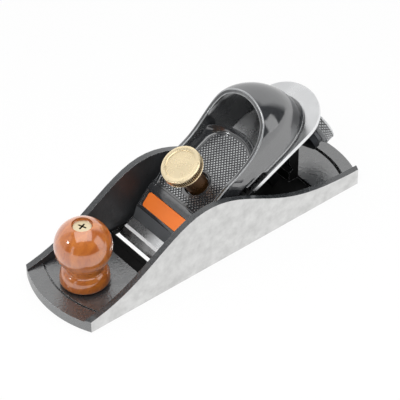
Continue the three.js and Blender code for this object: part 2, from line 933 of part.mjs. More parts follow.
function clampRingSolid() {
  const inner = clampThreadRadius - clampRingGroove + restGap;
  return ring(inner, clampRingRadius, clampRingLow, clampRingLow + clampRingThickness);
}

// ---- front knob ------------------------------------------------------------------------------

function knobSolid() {
  const beadRadius = knobBeadThickness / 2;
  const bead = arcPoints(
    [knobBeadRadius - beadRadius, knobBase + beadRadius],
    beadRadius,
    -Math.PI / 2,
    Math.PI / 3,
    arcSides,
  );
  const neckStart = bead[bead.length - 1];
  const neckAngle = -Math.acos(knobNeckRadius / knobBallRadius);
  const faceAngle = Math.acos(knobFaceRadius / knobBallRadius);
  const ball = arcPoints([0, knobBallHeight], knobBallRadius, neckAngle, faceAngle, 2 * arcSides);
  const neckFoot = neckStart[1] + (neckStart[0] - knobNeckRadius);
  const headLow = knobScrewTop - knobScrewHeadDepth;
  const bore = knobScrewRadius + boreGap;
  return turned([
    [bore, knobBase],
    ...bead,
    [knobNeckRadius, neckFoot],
    ...ball,
    [knobFaceRadius, knobScrewTop],
    [bore, headLow],
    [bore, knobBase],
  ]);
}

function knobScrewSolid() {
  const headLow = knobScrewTop - knobScrewHeadDepth;
  const end = knobBase - restGap - knobThreadDepth + restGap;
  const screw = turned([
    [0, end],
    [knobScrewRadius, end],
    [knobScrewRadius, headLow],
    [knobScrewHeadRadius, knobScrewTop],
    [0, knobScrewTop],
  ]);
  const reach = crossSlotLength / 2;
  const half = crossSlotWidth / 2;
  const depth = [knobScrewTop - crossSlotDepth, knobScrewTop + overrun];
  return without(
    screw,
    block([-reach, reach], [-half, half], depth),
    block([-half, half], [-reach, reach], depth),
  );
}

// ---- depth adjuster, along +X of the spindle's frame --------------------------------------------

// A plain rod with a groove for the clip, a shoulder behind the post and a tapered collar.
function spindleSolid() {
  const grooveRadius = spindleRadius - clipGroove;
  const shoulderFront = bearingRear + restGap;
  const shoulderRear = shoulderFront + spindleShoulderThickness;
  const collarFront = collarRear - collarThickness;
  const neckEnd = wheelRear - wheelDish - restGap;
  const spindle = turned([
    [0, spindleFront],
    [spindleRadius - 0.6, spindleFront],
    [spindleRadius, spindleFront + 0.6],
    [spindleRadius, clipFront - restGap],
    [grooveRadius, clipFront - restGap],
    [grooveRadius, clipFront + clipThickness + restGap],
    [spindleRadius, clipFront + clipThickness + restGap],
    [spindleRadius, shoulderFront],
    [spindleShoulderRadius, shoulderFront],
    [spindleShoulderRadius, shoulderRear],
    [spindleWaistRadius, shoulderRear],
    [spindleWaistRadius, collarFront - collarTaper],
    [collarFootRadius, collarFront - collarTaper],
    [collarRadius, collarFront],
    [collarRadius, collarRear],
    [spindleRadius, collarRear],
    [spindleRadius, neckEnd],
    [0, neckEnd],
  ]);
  const thread = bar(
    wheelScrewRadius + boreGap,
    neckEnd - wheelScrewLength,
    neckEnd + overrun,
  );
  return spindle.subtract(thread);
}

function wheelSolid() {
  const bore = spindleRadius + boreGap;
  const rounding = arcPoints(
    [wheelRadius - wheelRounding, wheelRear - wheelRounding],
    wheelRounding,
    0,
    Math.PI / 2,
    arcSides / 3,
  );
  return turned([
    [bore, wheelFront],
    [wheelRadius - wheelChamfer, wheelFront],
    [wheelRadius, wheelFront + wheelChamfer],
    ...rounding,
    [wheelDishRadius, wheelRear],
    [wheelDishRadius, wheelRear - wheelDish],
    [bore, wheelRear - wheelDish],
    [bore, wheelFront],
  ]);
}

function wheelScrewSolid() {
  const seat = wheelRear - wheelDish + restGap;
  const top = seat + wheelScrewHeadThickness;
  const end = wheelRear - wheelDish - wheelScrewLength + restGap;
  const screw = turned([
    [0, end],
    [wheelScrewRadius, end],
    [wheelScrewRadius, seat],
    [wheelScrewHeadRadius, seat],
    [wheelScrewHeadRadius, top],
    [0, top],
  ]);
  const reach = wheelScrewHeadRadius + overrun;
  const half = driverSlotWidth / 2;
  return screw.subtract(block([-reach, reach], [-half, half], [top - driverSlotDepth, top + overrun]));
}

function wheelWasherSolid() {
  const low = collarRear + restGap;
  return ring(spindleRadius + boreGap, wheelWasherRadius, low, low + wheelWasherThickness);
}

function clipSolid() {
  return ring(spindleRadius - clipGroove + restGap, clipRadius, clipFront, clipFront + clipThickness);
}

// The nut that runs on the spindle and pushes the blade by a tongue in one of its notches.
function adjusterBlockSolid() {
  const half = blockThickness / 2;
  const tongueHalf = notchWidth / 2 - restGap;
  const nut = block(
    [blockStation - half, blockStation + half],
    [-blockWidth / 2, blockWidth / 2],
    [-spindleDrop - blockBelowSpindle, -blockTopGap],
  );
  const tongue = block(
    [blockStation - tongueHalf, blockStation + tongueHalf],
    [-blockWidth / 2, blockWidth / 2],
    [-blockTopGap - weld, tongueEntry],
  );
  const bore = bar(
    spindleRadius + boreGap,
    blockStation - half - overrun,
    blockStation + half + overrun,
    { lying: true },
  ).translate([0, 0, -spindleDrop]);
  return nut.add(tongue).subtract(bore);
}

// ---- assembly ----------------------------------------------------------------------------------

const finishes = {
  iron: { color: 0xd6d6d4, roughness: 0.45, metalness: 0.8 },
  steel: { color: 0xe2e2e2, roughness: 0.28, metalness: 1 },
  nickel: { color: 0xdcdcd8, roughness: 0.22, metalness: 1 },
  enamel: { color: 0x2b2d2f, roughness: 0.22, metalness: 0 },
  brass: { color: 0xd9b777, roughness: 0.3, metalness: 1 },
  wood: { color: 0xc07038, roughness: 0.25, metalness: 0 },
  orange: { color: 0xf57a30, roughness: 0.4, metalness: 0 },
};

function addPiece(parent, name, shape, finish) {
  const mesh = new THREE.Mesh(geometryOf(shape), new THREE.MeshStandardMaterial(finishes[finish]));
  mesh.name = name;
  parent.add(mesh);
  return mesh;
}

function framedGroup(parent, matrix) {
  const group = new THREE.Group();
  matrix.decompose(group.position, group.quaternion, group.scale);
  parent.add(group);
  return group;
}

const plane = new THREE.Group();
addPiece(plane, 'body', bodySolid(), 'iron');

const knob = framedGroup(plane, new THREE.Matrix4().makeTranslation(knobForward, 0, 0));
addPiece(knob, 'front_knob', knobSolid(), 'wood');
addPiece(knob, 'knob_screw', knobScrewSolid(), 'brass');

const bed = framedGroup(plane, bedFrame);
addPiece(bed, 'blade', bladeSolid(), 'steel');
addPiece(bed, 'adjuster_block', adjusterBlockSolid(), 'steel');
addPiece(bed, 'lever_cap', capSolid(), 'enamel');
addPiece(framedGroup(bed, badgeFrame()), 'cap_badge', badgeSolid(), 'orange');

const clamp = framedGroup(bed, clampFrame);
addPiece(clamp, 'clamp_screw', clampScrewSolid(), 'brass');
addPiece(clamp, 'clamp_washer', clampWasherSolid(), 'steel');
addPiece(clamp, 'clamp_ring', clampRingSolid(), 'steel');

const spindleFrame = new THREE.Matrix4()
  .makeRotationY(Math.PI / 2)
  .setPosition(0, 0, -spindleDrop);
const spindle = framedGroup(bed, spindleFrame);
addPiece(spindle, 'adjuster_spindle', spindleSolid(), 'steel');
addPiece(spindle, 'adjuster_wheel', wheelSolid(), 'nickel');
addPiece(spindle, 'wheel_screw', wheelScrewSolid(), 'steel');
addPiece(spindle, 'wheel_washer', wheelWasherSolid(), 'brass');
addPiece(spindle, 'spindle_clip', clipSolid(), 'steel');

export default plane;
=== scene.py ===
"""Low-angle block plane: the looks of every piece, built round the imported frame.

Sizes are millimetres in each piece's own frame. A piece is turned into its place, in metres,
when it is settled.
"""

import logging
import math
from dataclasses import dataclass, field
from enum import Enum, IntEnum
from typing import Callable, Sequence

import bmesh
import bpy
from bmesh.types import BMesh, BMFace
from bpy.types import Material, Mesh, Node, NodeSocket, NodeTree, Object, World
from mathutils import Matrix, Vector


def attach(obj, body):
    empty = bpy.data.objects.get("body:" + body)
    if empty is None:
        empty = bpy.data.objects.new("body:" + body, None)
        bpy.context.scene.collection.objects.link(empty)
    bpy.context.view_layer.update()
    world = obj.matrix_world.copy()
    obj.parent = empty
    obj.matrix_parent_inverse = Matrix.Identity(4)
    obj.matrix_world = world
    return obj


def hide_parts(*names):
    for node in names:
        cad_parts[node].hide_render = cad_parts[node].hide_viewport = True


LOG = logging.getLogger("block_plane")
MM = 0.001
FULL_TURN = 2 * math.pi

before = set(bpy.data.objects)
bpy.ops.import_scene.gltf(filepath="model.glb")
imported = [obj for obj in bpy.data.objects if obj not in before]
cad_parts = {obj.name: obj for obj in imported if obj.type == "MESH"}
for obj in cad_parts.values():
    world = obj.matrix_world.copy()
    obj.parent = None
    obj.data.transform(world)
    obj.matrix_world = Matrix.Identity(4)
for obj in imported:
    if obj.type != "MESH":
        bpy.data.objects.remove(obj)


# ---- frames --------------------------------------------------------------------------------------

BED_ANGLE = math.radians(25.4)
BED_FOOT = 31.5
CLAMP_STATION = 41.73
CLAMP_LEAN = math.radians(3.9)
SPINDLE_DEPTH = 21.9
KNOB_STATION = 67
BED = Matrix((
    (-math.cos(BED_ANGLE), 0, math.sin(BED_ANGLE), BED_FOOT),
    (0, -1, 0, 0),
    (math.sin(BED_ANGLE), 0, math.cos(BED_ANGLE), 0),
    (0, 0, 0, 1),
))
CLAMP = BED @ Matrix.Translation((CLAMP_STATION, 0, 0)) @ Matrix.Rotation(-CLAMP_LEAN, 4, "Y")
CLAMP_ON_BED = BED.inverted() @ CLAMP
SPINDLE = BED @ Matrix.Translation((0, 0, -SPINDLE_DEPTH)) @ Matrix.Rotation(math.pi / 2, 4, "Y")
KNOB = Matrix.Translation((KNOB_STATION, 0, 0))
PLAIN = Matrix.Identity(4)


class Body(Enum):
    """The moving bodies of the plane."""

    CASTING = "plane_body"
    CUTTER = "cutter"
    ADJUSTER = "adjuster"
    CAP = "cap"
    CLAMP = "clamp"


class Slot(Enum):
    """The material slots that the record names."""

    IRON = "iron"
    CUTTER_STEEL = "cutter_steel"
    CAP_ENAMEL = "cap_enamel"
    BADGE_ORANGE = "badge_orange"
    BRASS = "brass"
    WOOD = "wood"
    PLATED_STEEL = "plated_steel"
    DARK_STEEL = "dark_steel"


# ---- node graphs ---------------------------------------------------------------------------------

# Nearly all of a noise's values lie between these two, as inputs of a Map Range node.
NOISE_SPAN = {1: 0.3, 2: 0.7}


def linear(code: str) -> tuple[float, float, float, float]:
    """Turns an sRGB hex colour to linear.

    Args:
        code: The colour as six hex digits after a hash.

    Returns:
        Linear red, green, blue and an alpha of one.
    """
    parts = [int(code[i:i + 2], 16) / 255 for i in (1, 3, 5)]
    light = [p / 12.92 if p <= 0.04045 else ((p + 0.055) / 1.055) ** 2.4 for p in parts]
    return (*light, 1.0)


def fresh_tree(holder: Material | World) -> NodeTree:
    """Empties the node tree of a material or a world.

    Args:
        holder: The material or the world.

    Returns:
        Its tree, without nodes.
    """
    holder.use_nodes = True
    holder.node_tree.nodes.clear()
    return holder.node_tree


def add_node(tree: NodeTree, kind: str, inputs: dict | None = None, **settings: object) -> Node:
    """Adds a node with its settings, values and links.

    Args:
        tree: The tree that gets the node.
        kind: The node's type name, less the ShaderNode that starts it.
        inputs: Values, sockets or nodes, by input name or number. A node gives its first output.
        **settings: Properties of the node.

    Returns:
        The new node.
    """
    node = tree.nodes.new(f"ShaderNode{kind}")
    for name, value in settings.items():
        setattr(node, name, value)
    for key, value in (inputs or {}).items():
        if isinstance(value, Node):
            value = value.outputs[0]
        if isinstance(value, NodeSocket):
            tree.links.new(value, node.inputs[key])
        else:
            node.inputs[key].default_value = value
    return node


@dataclass(frozen=True)
class Finish:
    """A finish: what a piece is made of and how its surface was made."""

    name: str
    place: Matrix = field(default_factory=PLAIN.copy)

    def build(self) -> Material:
        """Makes the finish's material.

        Returns:
            The material, with its pattern laid out in millimetres in the finish's frame.
        """
        known = bpy.data.materials.get(self.name)
        if known:
            return known
        material = bpy.data.materials.new(self.name)
        tree = fresh_tree(material)
        spot = add_node(tree, "Mapping", {
            "Vector": add_node(tree, "TexCoord").outputs["Object"],
            "Location": self.place.translation * MM,
            "Rotation": self.place.to_euler(),
            "Scale": (MM, MM, MM),
        }, vector_type="TEXTURE")
        shader = add_node(tree, "BsdfPrincipled", self.dress(tree, spot))
        add_node(tree, "OutputMaterial", {"Surface": shader})
        return material

    def dress(self, tree: NodeTree, spot: Node) -> dict[str, object]:
        """Lays out colour, gloss and relief, and returns the shader's inputs by name."""
        raise NotImplementedError


@dataclass(frozen=True)
class StovedEnamel(Finish):
    """Black enamel stoved on rough cast iron: a wet gloss over a skin like orange peel."""

    tone: str = "#2A2C2E"
    worn: str = "#34373A"
    gloss: float = 0.26
    cloud: float = 16.0
    haze: float = 5.0
    peel: float = 1.3
    relief: float = 0.14
    shine: float = 2.6

    def dress(self, tree: NodeTree, spot: Node) -> dict[str, object]:
        """Lays a slightly uneven dark coat with the peel as its relief.

        Args:
            tree: The material's node tree.
            spot: The node that gives the place on the piece, in millimetres.

        Returns:
            Values and nodes for the shader's inputs, by name.
        """
        cloud = add_node(tree, "TexNoise", {"Vector": spot, "Scale": 1 / self.cloud, "Detail": 3.0})
        haze = add_node(tree, "TexNoise", {"Vector": spot, "Scale": 1 / self.haze, "Detail": 2.0})
        skin = add_node(tree, "TexNoise", {"Vector": spot, "Scale": 1 / self.peel, "Detail": 2.0})
        tint = add_node(
            tree, "Mix", {0: cloud, 6: linear(self.tone), 7: linear(self.worn)}, data_type="RGBA"
        )
        return {
            "Base Color": tint.outputs[2],
            "Roughness": add_node(tree, "MapRange", {
                0: haze, **NOISE_SPAN, 3: self.gloss - 0.04, 4: self.gloss + 0.07,
            }),
            "Normal": add_node(
                tree, "Bump", {"Height": skin, "Distance": self.relief * MM, "Strength": 1.0}
            ),
            "IOR": self.shine,
        }


@dataclass(frozen=True)
class GroundMetal(Finish):
    """Metal ground on a belt or a stone: bright and satin, with lines one way and faint clouds."""

    tone: str = "#D4D4D3"
    dull: str = "#C4C4C3"
    gloss: float = 0.36
    cloud: float = 6.5
    line_length: float = 22.0
    line_width: float = 0.45
    line_depth: float = 0.008
    matt_band: tuple[float, float] | None = None

    # Real grinding lines are finer than this. They are drawn this wide so that they show.

    def dress(self, tree: NodeTree, spot: Node) -> dict[str, object]:
        """Lays clouds of tone and gloss with the grinding lines along the frame's X.

        Args:
            tree: The material's node tree.
            spot: The node that gives the place on the piece, in millimetres.

        Returns:
            Values and nodes for the shader's inputs, by name.
        """
        cloud = add_node(tree, "TexNoise", {
            "Vector": spot, "Scale": 1 / self.cloud, "Detail": 5.0, "Roughness": 0.62,
        })
        patch = add_node(tree, "MapRange", {0: cloud, 1: 0.36, 2: 0.64})
        tint = add_node(
            tree, "Mix", {0: patch, 6: linear(self.dull), 7: linear(self.tone)}, data_type="RGBA"
        )
        narrow = 1 / self.line_width
        along = add_node(
            tree, "VectorMath", {0: spot, 1: (1 / self.line_length, narrow, narrow)},
            operation="MULTIPLY",
        )
        lines = add_node(tree, "TexNoise", {"Vector": along, "Scale": 1.0, "Detail": 3.0})
        return {
            "Base Color": tint.outputs[2],
            "Roughness": add_node(tree, "MapRange", {
                0: cloud, **NOISE_SPAN, 3: self.gloss + 0.08, 4: self.gloss - 0.05,
            }),
            "Normal": add_node(
                tree, "Bump", {"Height": lines, "Distance": self.line_depth * MM, "Strength": 1.0}
            ),
            "Metallic": self.frost(tree, spot, *self.matt_band) if self.matt_band else 1.0,
        }

    def frost(self, tree: NodeTree, spot: Node, start: float, end: float) -> Node:
        """Leaves a band across the metal pale and dull from a coarse wheel.

        Args:
            tree: The material's node tree.
            spot: The node that gives the place on the piece, in millimetres.
            start: Where the band starts along the frame's X.
            end: Where it ends.

        Returns:
            The node that gives how bare the metal is.
        """
        half = (end - start) / 2
        away = add_node(
            tree, "Math", {0: add_node(tree, "SeparateXYZ", {0: spot}), 1: (start + end) / 2},
            operation="SUBTRACT",
        )
        distance = add_node(tree, "Math", {0: away}, operation="ABSOLUTE")
        return add_node(tree, "MapRange", {0: distance, 1: half - 0.15, 2: half + 0.05})


@dataclass(frozen=True)
class TurnedMetal(Finish):
    """Metal turned on a lathe: bright rings round its axis, and grime and painted shade low in its
    recesses.
    """

    tone: str = "#F0D9A6"
    shade: str = "#E2C286"
    grime_and_shade: str = "#8A6236"
    gloss: float = 0.26
    cloud: float = 5.0
    ring_pitch: float = 0.5
    ring_depth: float = 0.003
    grime_and_shade_inside: float = 0.0
    grime_and_shade_below: float = 0.0
    grime_and_shade_above: float = -100.0
    bareness: float = 1.0

    # A lathe leaves rings a few times closer than this pitch. They are this far apart to show.

    def dress(self, tree: NodeTree, spot: Node) -> dict[str, object]:
        """Lays rings by the distance from the frame's Z and clouds of tone.

        Args:
            tree: The material's node tree.
            spot: The node that gives the place on the piece, in millimetres.

        Returns:
            Values and nodes for the shader's inputs, by name.
        """
        flat = add_node(tree, "VectorMath", {0: spot, 1: (1.0, 1.0, 0.0)}, operation="MULTIPLY")
        radius = add_node(tree, "VectorMath", {0: flat}, operation="LENGTH").outputs["Value"]
        height = add_node(tree, "SeparateXYZ", {0: spot}).outputs["Z"]
        sweep = add_node(tree, "Math", {0: radius, 1: height}, operation="ADD")
        tool_marks = add_node(
            tree, "TexNoise", {"W": sweep, "Scale": 1 / self.ring_pitch, "Detail": 2.0},
            noise_dimensions="1D",
        )
        cloud = add_node(tree, "TexNoise", {"Vector": spot, "Scale": 1 / self.cloud, "Detail": 3.0})
        coat = add_node(
            tree, "Mix", {0: cloud, 6: linear(self.shade), 7: linear(self.tone)}, data_type="RGBA"
        )
        # Grime and painted shade: near the axis and low down, the tone goes towards the dark
        # colour.
        if self.grime_and_shade_inside:
            coat = add_node(tree, "Mix", {
                0: self.grime_and_shade_mask(tree, radius, height), 6: coat.outputs[2], 7: linear(self.grime_and_shade),
            }, data_type="RGBA")
        return {
            "Base Color": coat.outputs[2],
            "Roughness": add_node(tree, "MapRange", {
                0: cloud, **NOISE_SPAN, 3: self.gloss - 0.03, 4: self.gloss + 0.07,
            }),
            "Normal": add_node(tree, "Bump", {
                "Height": tool_marks, "Distance": self.ring_depth * MM, "Strength": 1.0,
            }),
            "Metallic": self.bareness,
        }

    def grime_and_shade_mask(self, tree: NodeTree, radius: NodeSocket, height: NodeSocket) -> Node:
        """Finds where grime and painted shade go: near the axis and within a band of heights.

        Args:
            tree: The material's node tree.
            radius: Distance from the frame's Z.
            height: Height along it.

        Returns:
            The node that gives how much grime and painted shade the place gets.
        """
        near = add_node(tree, "MapRange", {
            0: radius, 1: self.grime_and_shade_inside - 0.2, 2: self.grime_and_shade_inside, 3: 1.0, 4: 0.0,
        })
        low = add_node(tree, "MapRange", {
            0: height, 1: self.grime_and_shade_below - 0.3, 2: self.grime_and_shade_below, 3: 1.0, 4: 0.0,
        })
        high = add_node(
            tree, "MapRange", {0: height, 1: self.grime_and_shade_above, 2: self.grime_and_shade_above + 0.2}
        )
        between = add_node(tree, "Math", {0: high, 1: low}, operation="MULTIPLY")
        return add_node(tree, "Math", {0: near, 1: between}, operation="MULTIPLY")


@dataclass(frozen=True)
class LacqueredBeech(Finish):
    """Stained beech under clear lacquer: orange brown, with dark flecks and a wet gloss."""

    tone: str = "#CC7628"
    dark: str = "#B05A18"
    fleck: str = "#7A3A10"
    grain_width: float = 1.3
    grain_length: float = 16.0
    wood_gloss: float = 0.42
    coat_gloss: float = 0.08
    coat_shine: float = 1.95

    # The pores of beech are finer than these flecks, which are drawn coarse enough to show.

    def dress(self, tree: NodeTree, spot: Node) -> dict[str, object]:
        """Lays the year rings across, the flecks along, and the lacquer over them.

        Args:
            tree: The material's node tree.
            spot: The node that gives the place on the piece, in millimetres.

        Returns:
            Values and nodes for the shader's inputs, by name.
        """
        wide, long = 1 / self.grain_width, 1 / self.grain_length
        across = add_node(
            tree, "VectorMath", {0: spot, 1: (long, wide / 4, long)}, operation="MULTIPLY"
        )
        rings = add_node(tree, "TexNoise", {
            "Vector": across, "Scale": 1.6, "Detail": 4.0, "Distortion": 0.6,
        })
        band = add_node(tree, "MapRange", {0: rings, 1: 0.34, 2: 0.66})
        tint = add_node(
            tree, "Mix", {0: band, 6: linear(self.dark), 7: linear(self.tone)}, data_type="RGBA"
        )
        along = add_node(
            tree, "VectorMath", {0: spot, 1: (wide, 2 * wide, long)}, operation="MULTIPLY"
        )
        pores = add_node(tree, "TexNoise", {"Vector": along, "Scale": 2.4, "Detail": 2.0})
        flecks = add_node(tree, "MapRange", {0: pores, 1: 0.60, 2: 0.74, 3: 0.0, 4: 0.55})
        wood = add_node(
            tree, "Mix", {0: flecks, 6: tint.outputs[2], 7: linear(self.fleck)}, data_type="RGBA"
        )
        return {
            "Base Color": wood.outputs[2],
            "Roughness": self.wood_gloss,
            "Coat Weight": 1.0,
            "Coat Roughness": self.coat_gloss,
            "Coat IOR": self.coat_shine,
        }


@dataclass(frozen=True)
class PrintedFilm(Finish):
    """A plain printed film under clear vinyl: one flat strong colour with a low gloss."""

    tone: str = "#FF8838"
    deep: str = "#FF8030"
    gloss: float = 0.32
    ripple: float = 6.0
    ripple_depth: float = 0.03

    def dress(self, tree: NodeTree, spot: Node) -> dict[str, object]:
        """Lays the colour with a very faint unevenness and a faint ripple in the film.

        Args:
            tree: The material's node tree.
            spot: The node that gives the place on the piece, in millimetres.

        Returns:
            Values and nodes for the shader's inputs, by name.
        """
        cloud = add_node(tree, "TexNoise", {
            "Vector": spot, "Scale": 1 / self.ripple, "Detail": 2.0,
        })
        tint = add_node(
            tree, "Mix", {0: cloud, 6: linear(self.deep), 7: linear(self.tone)}, data_type="RGBA"
        )
        return {
            "Base Color": tint.outputs[2],
            "Normal": add_node(
                tree, "Bump", {"Height": cloud, "Distance": self.ripple_depth * MM, "Strength": 1.0}
            ),
            "Roughness": self.gloss,
        }


# Thick glossy black with the casting's roughness under it.
ENAMEL = StovedEnamel("stoved_black_enamel")
# A light grey on the rounded arrises: a painted highlight, which shows as a light line along each
# edge.
ARRIS_HIGHLIGHT_ENAMEL = StovedEnamel(
    "enamel_painted_arris_highlight", tone="#BABCBE", worn="#CED0D2", gloss=0.3, relief=0.1
)
# Sprayed thinly inside the cheeks, so nearly matt.
CHEEK_BLACK = StovedEnamel(
    "dull_inner_enamel", tone="#26282A", worn="#3E4043", gloss=0.5, shine=1.6
)
# The same enamel facing up, with less of the room in it.
RIM_ENAMEL = StovedEnamel("enamel_on_cheek_tops", shine=1.85)
# Smooth and wet on the cap, so that the hood mirrors the room.
CAP_ENAMEL = StovedEnamel(
    "stoved_cap_enamel", BED, tone="#2E3032", worn="#36383B", gloss=0.12, peel=2.4, relief=0.04,
    shine=2.35,
)
# Painted shade: near black down in the well, the throat and the heel's groove, where shadow falls.
WELL_PAINTED_SHADE = StovedEnamel(
    "painted_shade_black", tone="#060606", worn="#0C0C0D", gloss=0.75, shine=1.3
)
# A lighter grey on the cap's rounded edges: a painted highlight, which shows as grey lines round
# the hood.
CAP_ARRIS_HIGHLIGHT = StovedEnamel(
    "cap_enamel_painted_arris_highlight", BED, tone="#7C7E80", worn="#A4A6A8", gloss=0.22, relief=0.04
)
# Greyer and duller where the toe presses on the cutter.
CAP_TOE = StovedEnamel(
    "cap_toe_enamel", BED, tone="#505356", worn="#5A5D60", gloss=0.4, shine=1.7, relief=0.05
)
# The knurl's tips are rubbed bare by the thumb, which gives the panel its bright dots.
RUBBED_TIPS = GroundMetal("knurl_rubbed_bare", BED, tone="#D6D8D9", dull="#C2C4C6", gloss=0.3)
# A pale satin with lines along the cheeks, which are ground flat.
GROUND_IRON = GroundMetal("ground_grey_iron")
# Brighter and finer than the iron, with a matt band above the bevel.
CUTTER_STEEL = GroundMetal(
    "ground_cutter_steel", BED, tone="#E6E7E8", dull="#E0E1E2", gloss=0.26, cloud=14.0,
    line_depth=0.0015, matt_band=(4.4, 6.1),
)
# Pale polished brass, brown under the head and in the knurl: partly dried polish, partly painted
# shade.
BRASS = TurnedMetal(
    "turned_brass", CLAMP, tone="#F6E6C4", shade="#EEDAB0", grime_and_shade="#7E5630", grime_and_shade_inside=10.0,
    grime_and_shade_below=30.6, bareness=0.72,
)
# Duller than the thumb screw, with painted shade: near black down in the driver's cross and round
# the head's rim.
SCREW_BRASS = TurnedMetal(
    "pressed_brass", KNOB, tone="#F4E6C8", shade="#E8D6B0", grime_and_shade="#2E2114", gloss=0.4,
    ring_pitch=1.5, grime_and_shade_inside=9.0, grime_and_shade_below=38.95,
)
# Bright grey plating, neither yellow nor blue.
NICKEL = TurnedMetal("plated_nickel", SPINDLE, tone="#D6D7D8", shade="#C6C8CA")
# White plating, with painted shade low between the pyramids.
KNURLED_NICKEL = TurnedMetal(
    "knurled_nickel", SPINDLE, tone="#E4E5E6", shade="#D4D6D8", grime_and_shade="#343638", gloss=0.34,
    grime_and_shade_inside=11.3, grime_and_shade_below=109.9, grime_and_shade_above=105.8, bareness=0.3,
)
# Plating gone grey where it is pressed and turned on.
DULLED_NICKEL = TurnedMetal("dulled_nickel", SPINDLE, tone="#6E7073", shade="#5C5E61", gloss=0.5)
# Nearly black and only faintly bright, as oiled steel is.
DARK_STEEL = TurnedMetal("oiled_dark_steel", SPINDLE, tone="#3C3E41", shade="#323437", gloss=0.5)
# A clear wet coat over warm brown, with a sharp light on the ball.
BEECH = LacqueredBeech("lacquered_beech", KNOB)
# One flat orange, the strongest colour on the plane.
FILM = PrintedFilm("plain_orange_film", BED)


# ---- mesh work -----------------------------------------------------------------------------------


def put(name: str, data: Mesh | bpy.types.Light | bpy.types.Camera) -> Object:
    """Puts an object into the scene.

    Args:
        name: The object's name.
        data: What it shows, lights or sees with.

    Returns:
        The object.
    """
    thing = bpy.data.objects.new(name, data)
    bpy.context.scene.collection.objects.link(thing)
    return thing


def cad_copy(node: str) -> BMesh:
    """Copies a CAD node's mesh, merged and with its flat faces made whole.

    Args:
        node: The node's name.

    Returns:
        The copy, in millimetres.
    """
    closest, flattest = 0.02, math.radians(0.6)
    bm = bmesh.new()
    bm.from_mesh(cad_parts[node].data)
    bmesh.ops.scale(bm, vec=(1 / MM, 1 / MM, 1 / MM), verts=bm.verts)
    bmesh.ops.remove_doubles(bm, verts=bm.verts, dist=closest)
    bmesh.ops.dissolve_degenerate(bm, dist=closest, edges=bm.edges)
    bmesh.ops.dissolve_limit(bm, angle_limit=flattest, verts=bm.verts, edges=bm.edges)
    return bm


def bevelled(bm: BMesh, edges: Sequence, width: float, segments: int, finish: int = -1) -> None:
    """Rounds edges.

    Args:
        bm: The mesh.
        edges: The edges.
        width: How far the rounding reaches from an edge.
        segments: Steps across the rounding.
        finish: Number of the finish on the rounding, or -1 for that of the faces beside it.
    """
    bmesh.ops.bevel(
        bm, geom=edges, offset=width, offset_type="OFFSET", affect="EDGES", segments=segments,
        profile=0.5, material=finish, clamp_overlap=True,
    )


def soften(
    bm: BMesh, width: float, angle: float, shortest: float = 0.0, finish: int = -1
) -> None:
    """Rounds the sharp edges, except beside very short edges, which leave no room for it.

    Args:
        bm: The mesh.
        width: How far the rounding reaches from the edge.
        angle: The least turn between two faces that counts as sharp, in degrees.
        shortest: Edges shorter than this stay sharp.
        finish: Number of the finish on the rounding, or -1 for that of the faces beside it.
    """
    limit = math.radians(angle)
    room = 1.3 * width
    crowded = {vert for edge in bm.edges if edge.calc_length() < room for vert in edge.verts}
    sharp = [
        edge
        for edge in bm.edges
        if edge.is_manifold
        and edge.calc_face_angle(0.0) > limit
        and edge.calc_length() >= shortest
        and not crowded.intersection(edge.verts)
    ]
    bevelled(bm, sharp, width, 2, finish)


def turned(
    profile: Sequence[tuple[float, float]], steps: int = 96, closed: bool = False
) -> BMesh:
    """Spins a profile about Z into a closed shape.

    Args:
        profile: Radius and height of each corner, in order.
        steps: Steps round the axis.
        closed: The profile joins its own start, as a ring's does.

    Returns:
        The shape.
    """
    bm = bmesh.new()
    verts = [bm.verts.new((radius, 0, height)) for radius, height in profile]
    pairs = list(zip(verts, verts[1:]))
    if closed:
        pairs.append((verts[-1], verts[0]))
    edges = [bm.edges.new(pair) for pair in pairs]
    bmesh.ops.spin(
        bm, geom=verts + edges, cent=(0, 0, 0), axis=(0, 0, 1), dvec=(0, 0, 0), angle=FULL_TURN,
        steps=steps, use_merge=True, use_duplicate=False,
    )
    bmesh.ops.remove_doubles(bm, verts=bm.verts, dist=0.001)
    return bm


def lofted(
    sections: Sequence[Sequence[Vector]], bands: Sequence[range] = (), finish: int = 0
) -> BMesh:
    """Joins closed sections into one closed shape.

    Args:
        sections: Loops of the same number of points, in order.
        bands: Runs of points in the loops between which the faces have another finish.
        finish: Number of that finish.

    Returns:
        The shape.
    """
    bm = bmesh.new()
    spans = len(sections) - 1
    points = len(sections[0])
    made = bmesh.ops.create_grid(bm, x_segments=spans, y_segments=points, size=1.0)
    places = {}
    for vert in made["verts"]:
        section = round((vert.co.x + 1) / 2 * spans)
        places[vert] = round((vert.co.y + 1) / 2 * points) % points
        vert.co = sections[section][places[vert]]
    for face in {face for vert in made["verts"] for face in vert.link_faces}:
        if any(all(places[vert] in band for vert in face.verts) for band in bands):
            face.material_index = finish
    bmesh.ops.remove_doubles(bm, verts=made["verts"], dist=0.002)
    bmesh.ops.holes_fill(bm, edges=[edge for edge in bm.edges if edge.is_boundary])
    return bm


def plain_mesh(bm: BMesh, name: str) -> Mesh:
    """Turns a closed shape into a mesh with its faces outwards.

    Args:
        bm: The shape. It is freed.
        name: The mesh's name.

    Returns:
        The mesh.
    """
    bmesh.ops.recalc_face_normals(bm, faces=bm.faces)
    mesh = bpy.data.meshes.new(name)
    bm.to_mesh(mesh)
    bm.free()
    return mesh


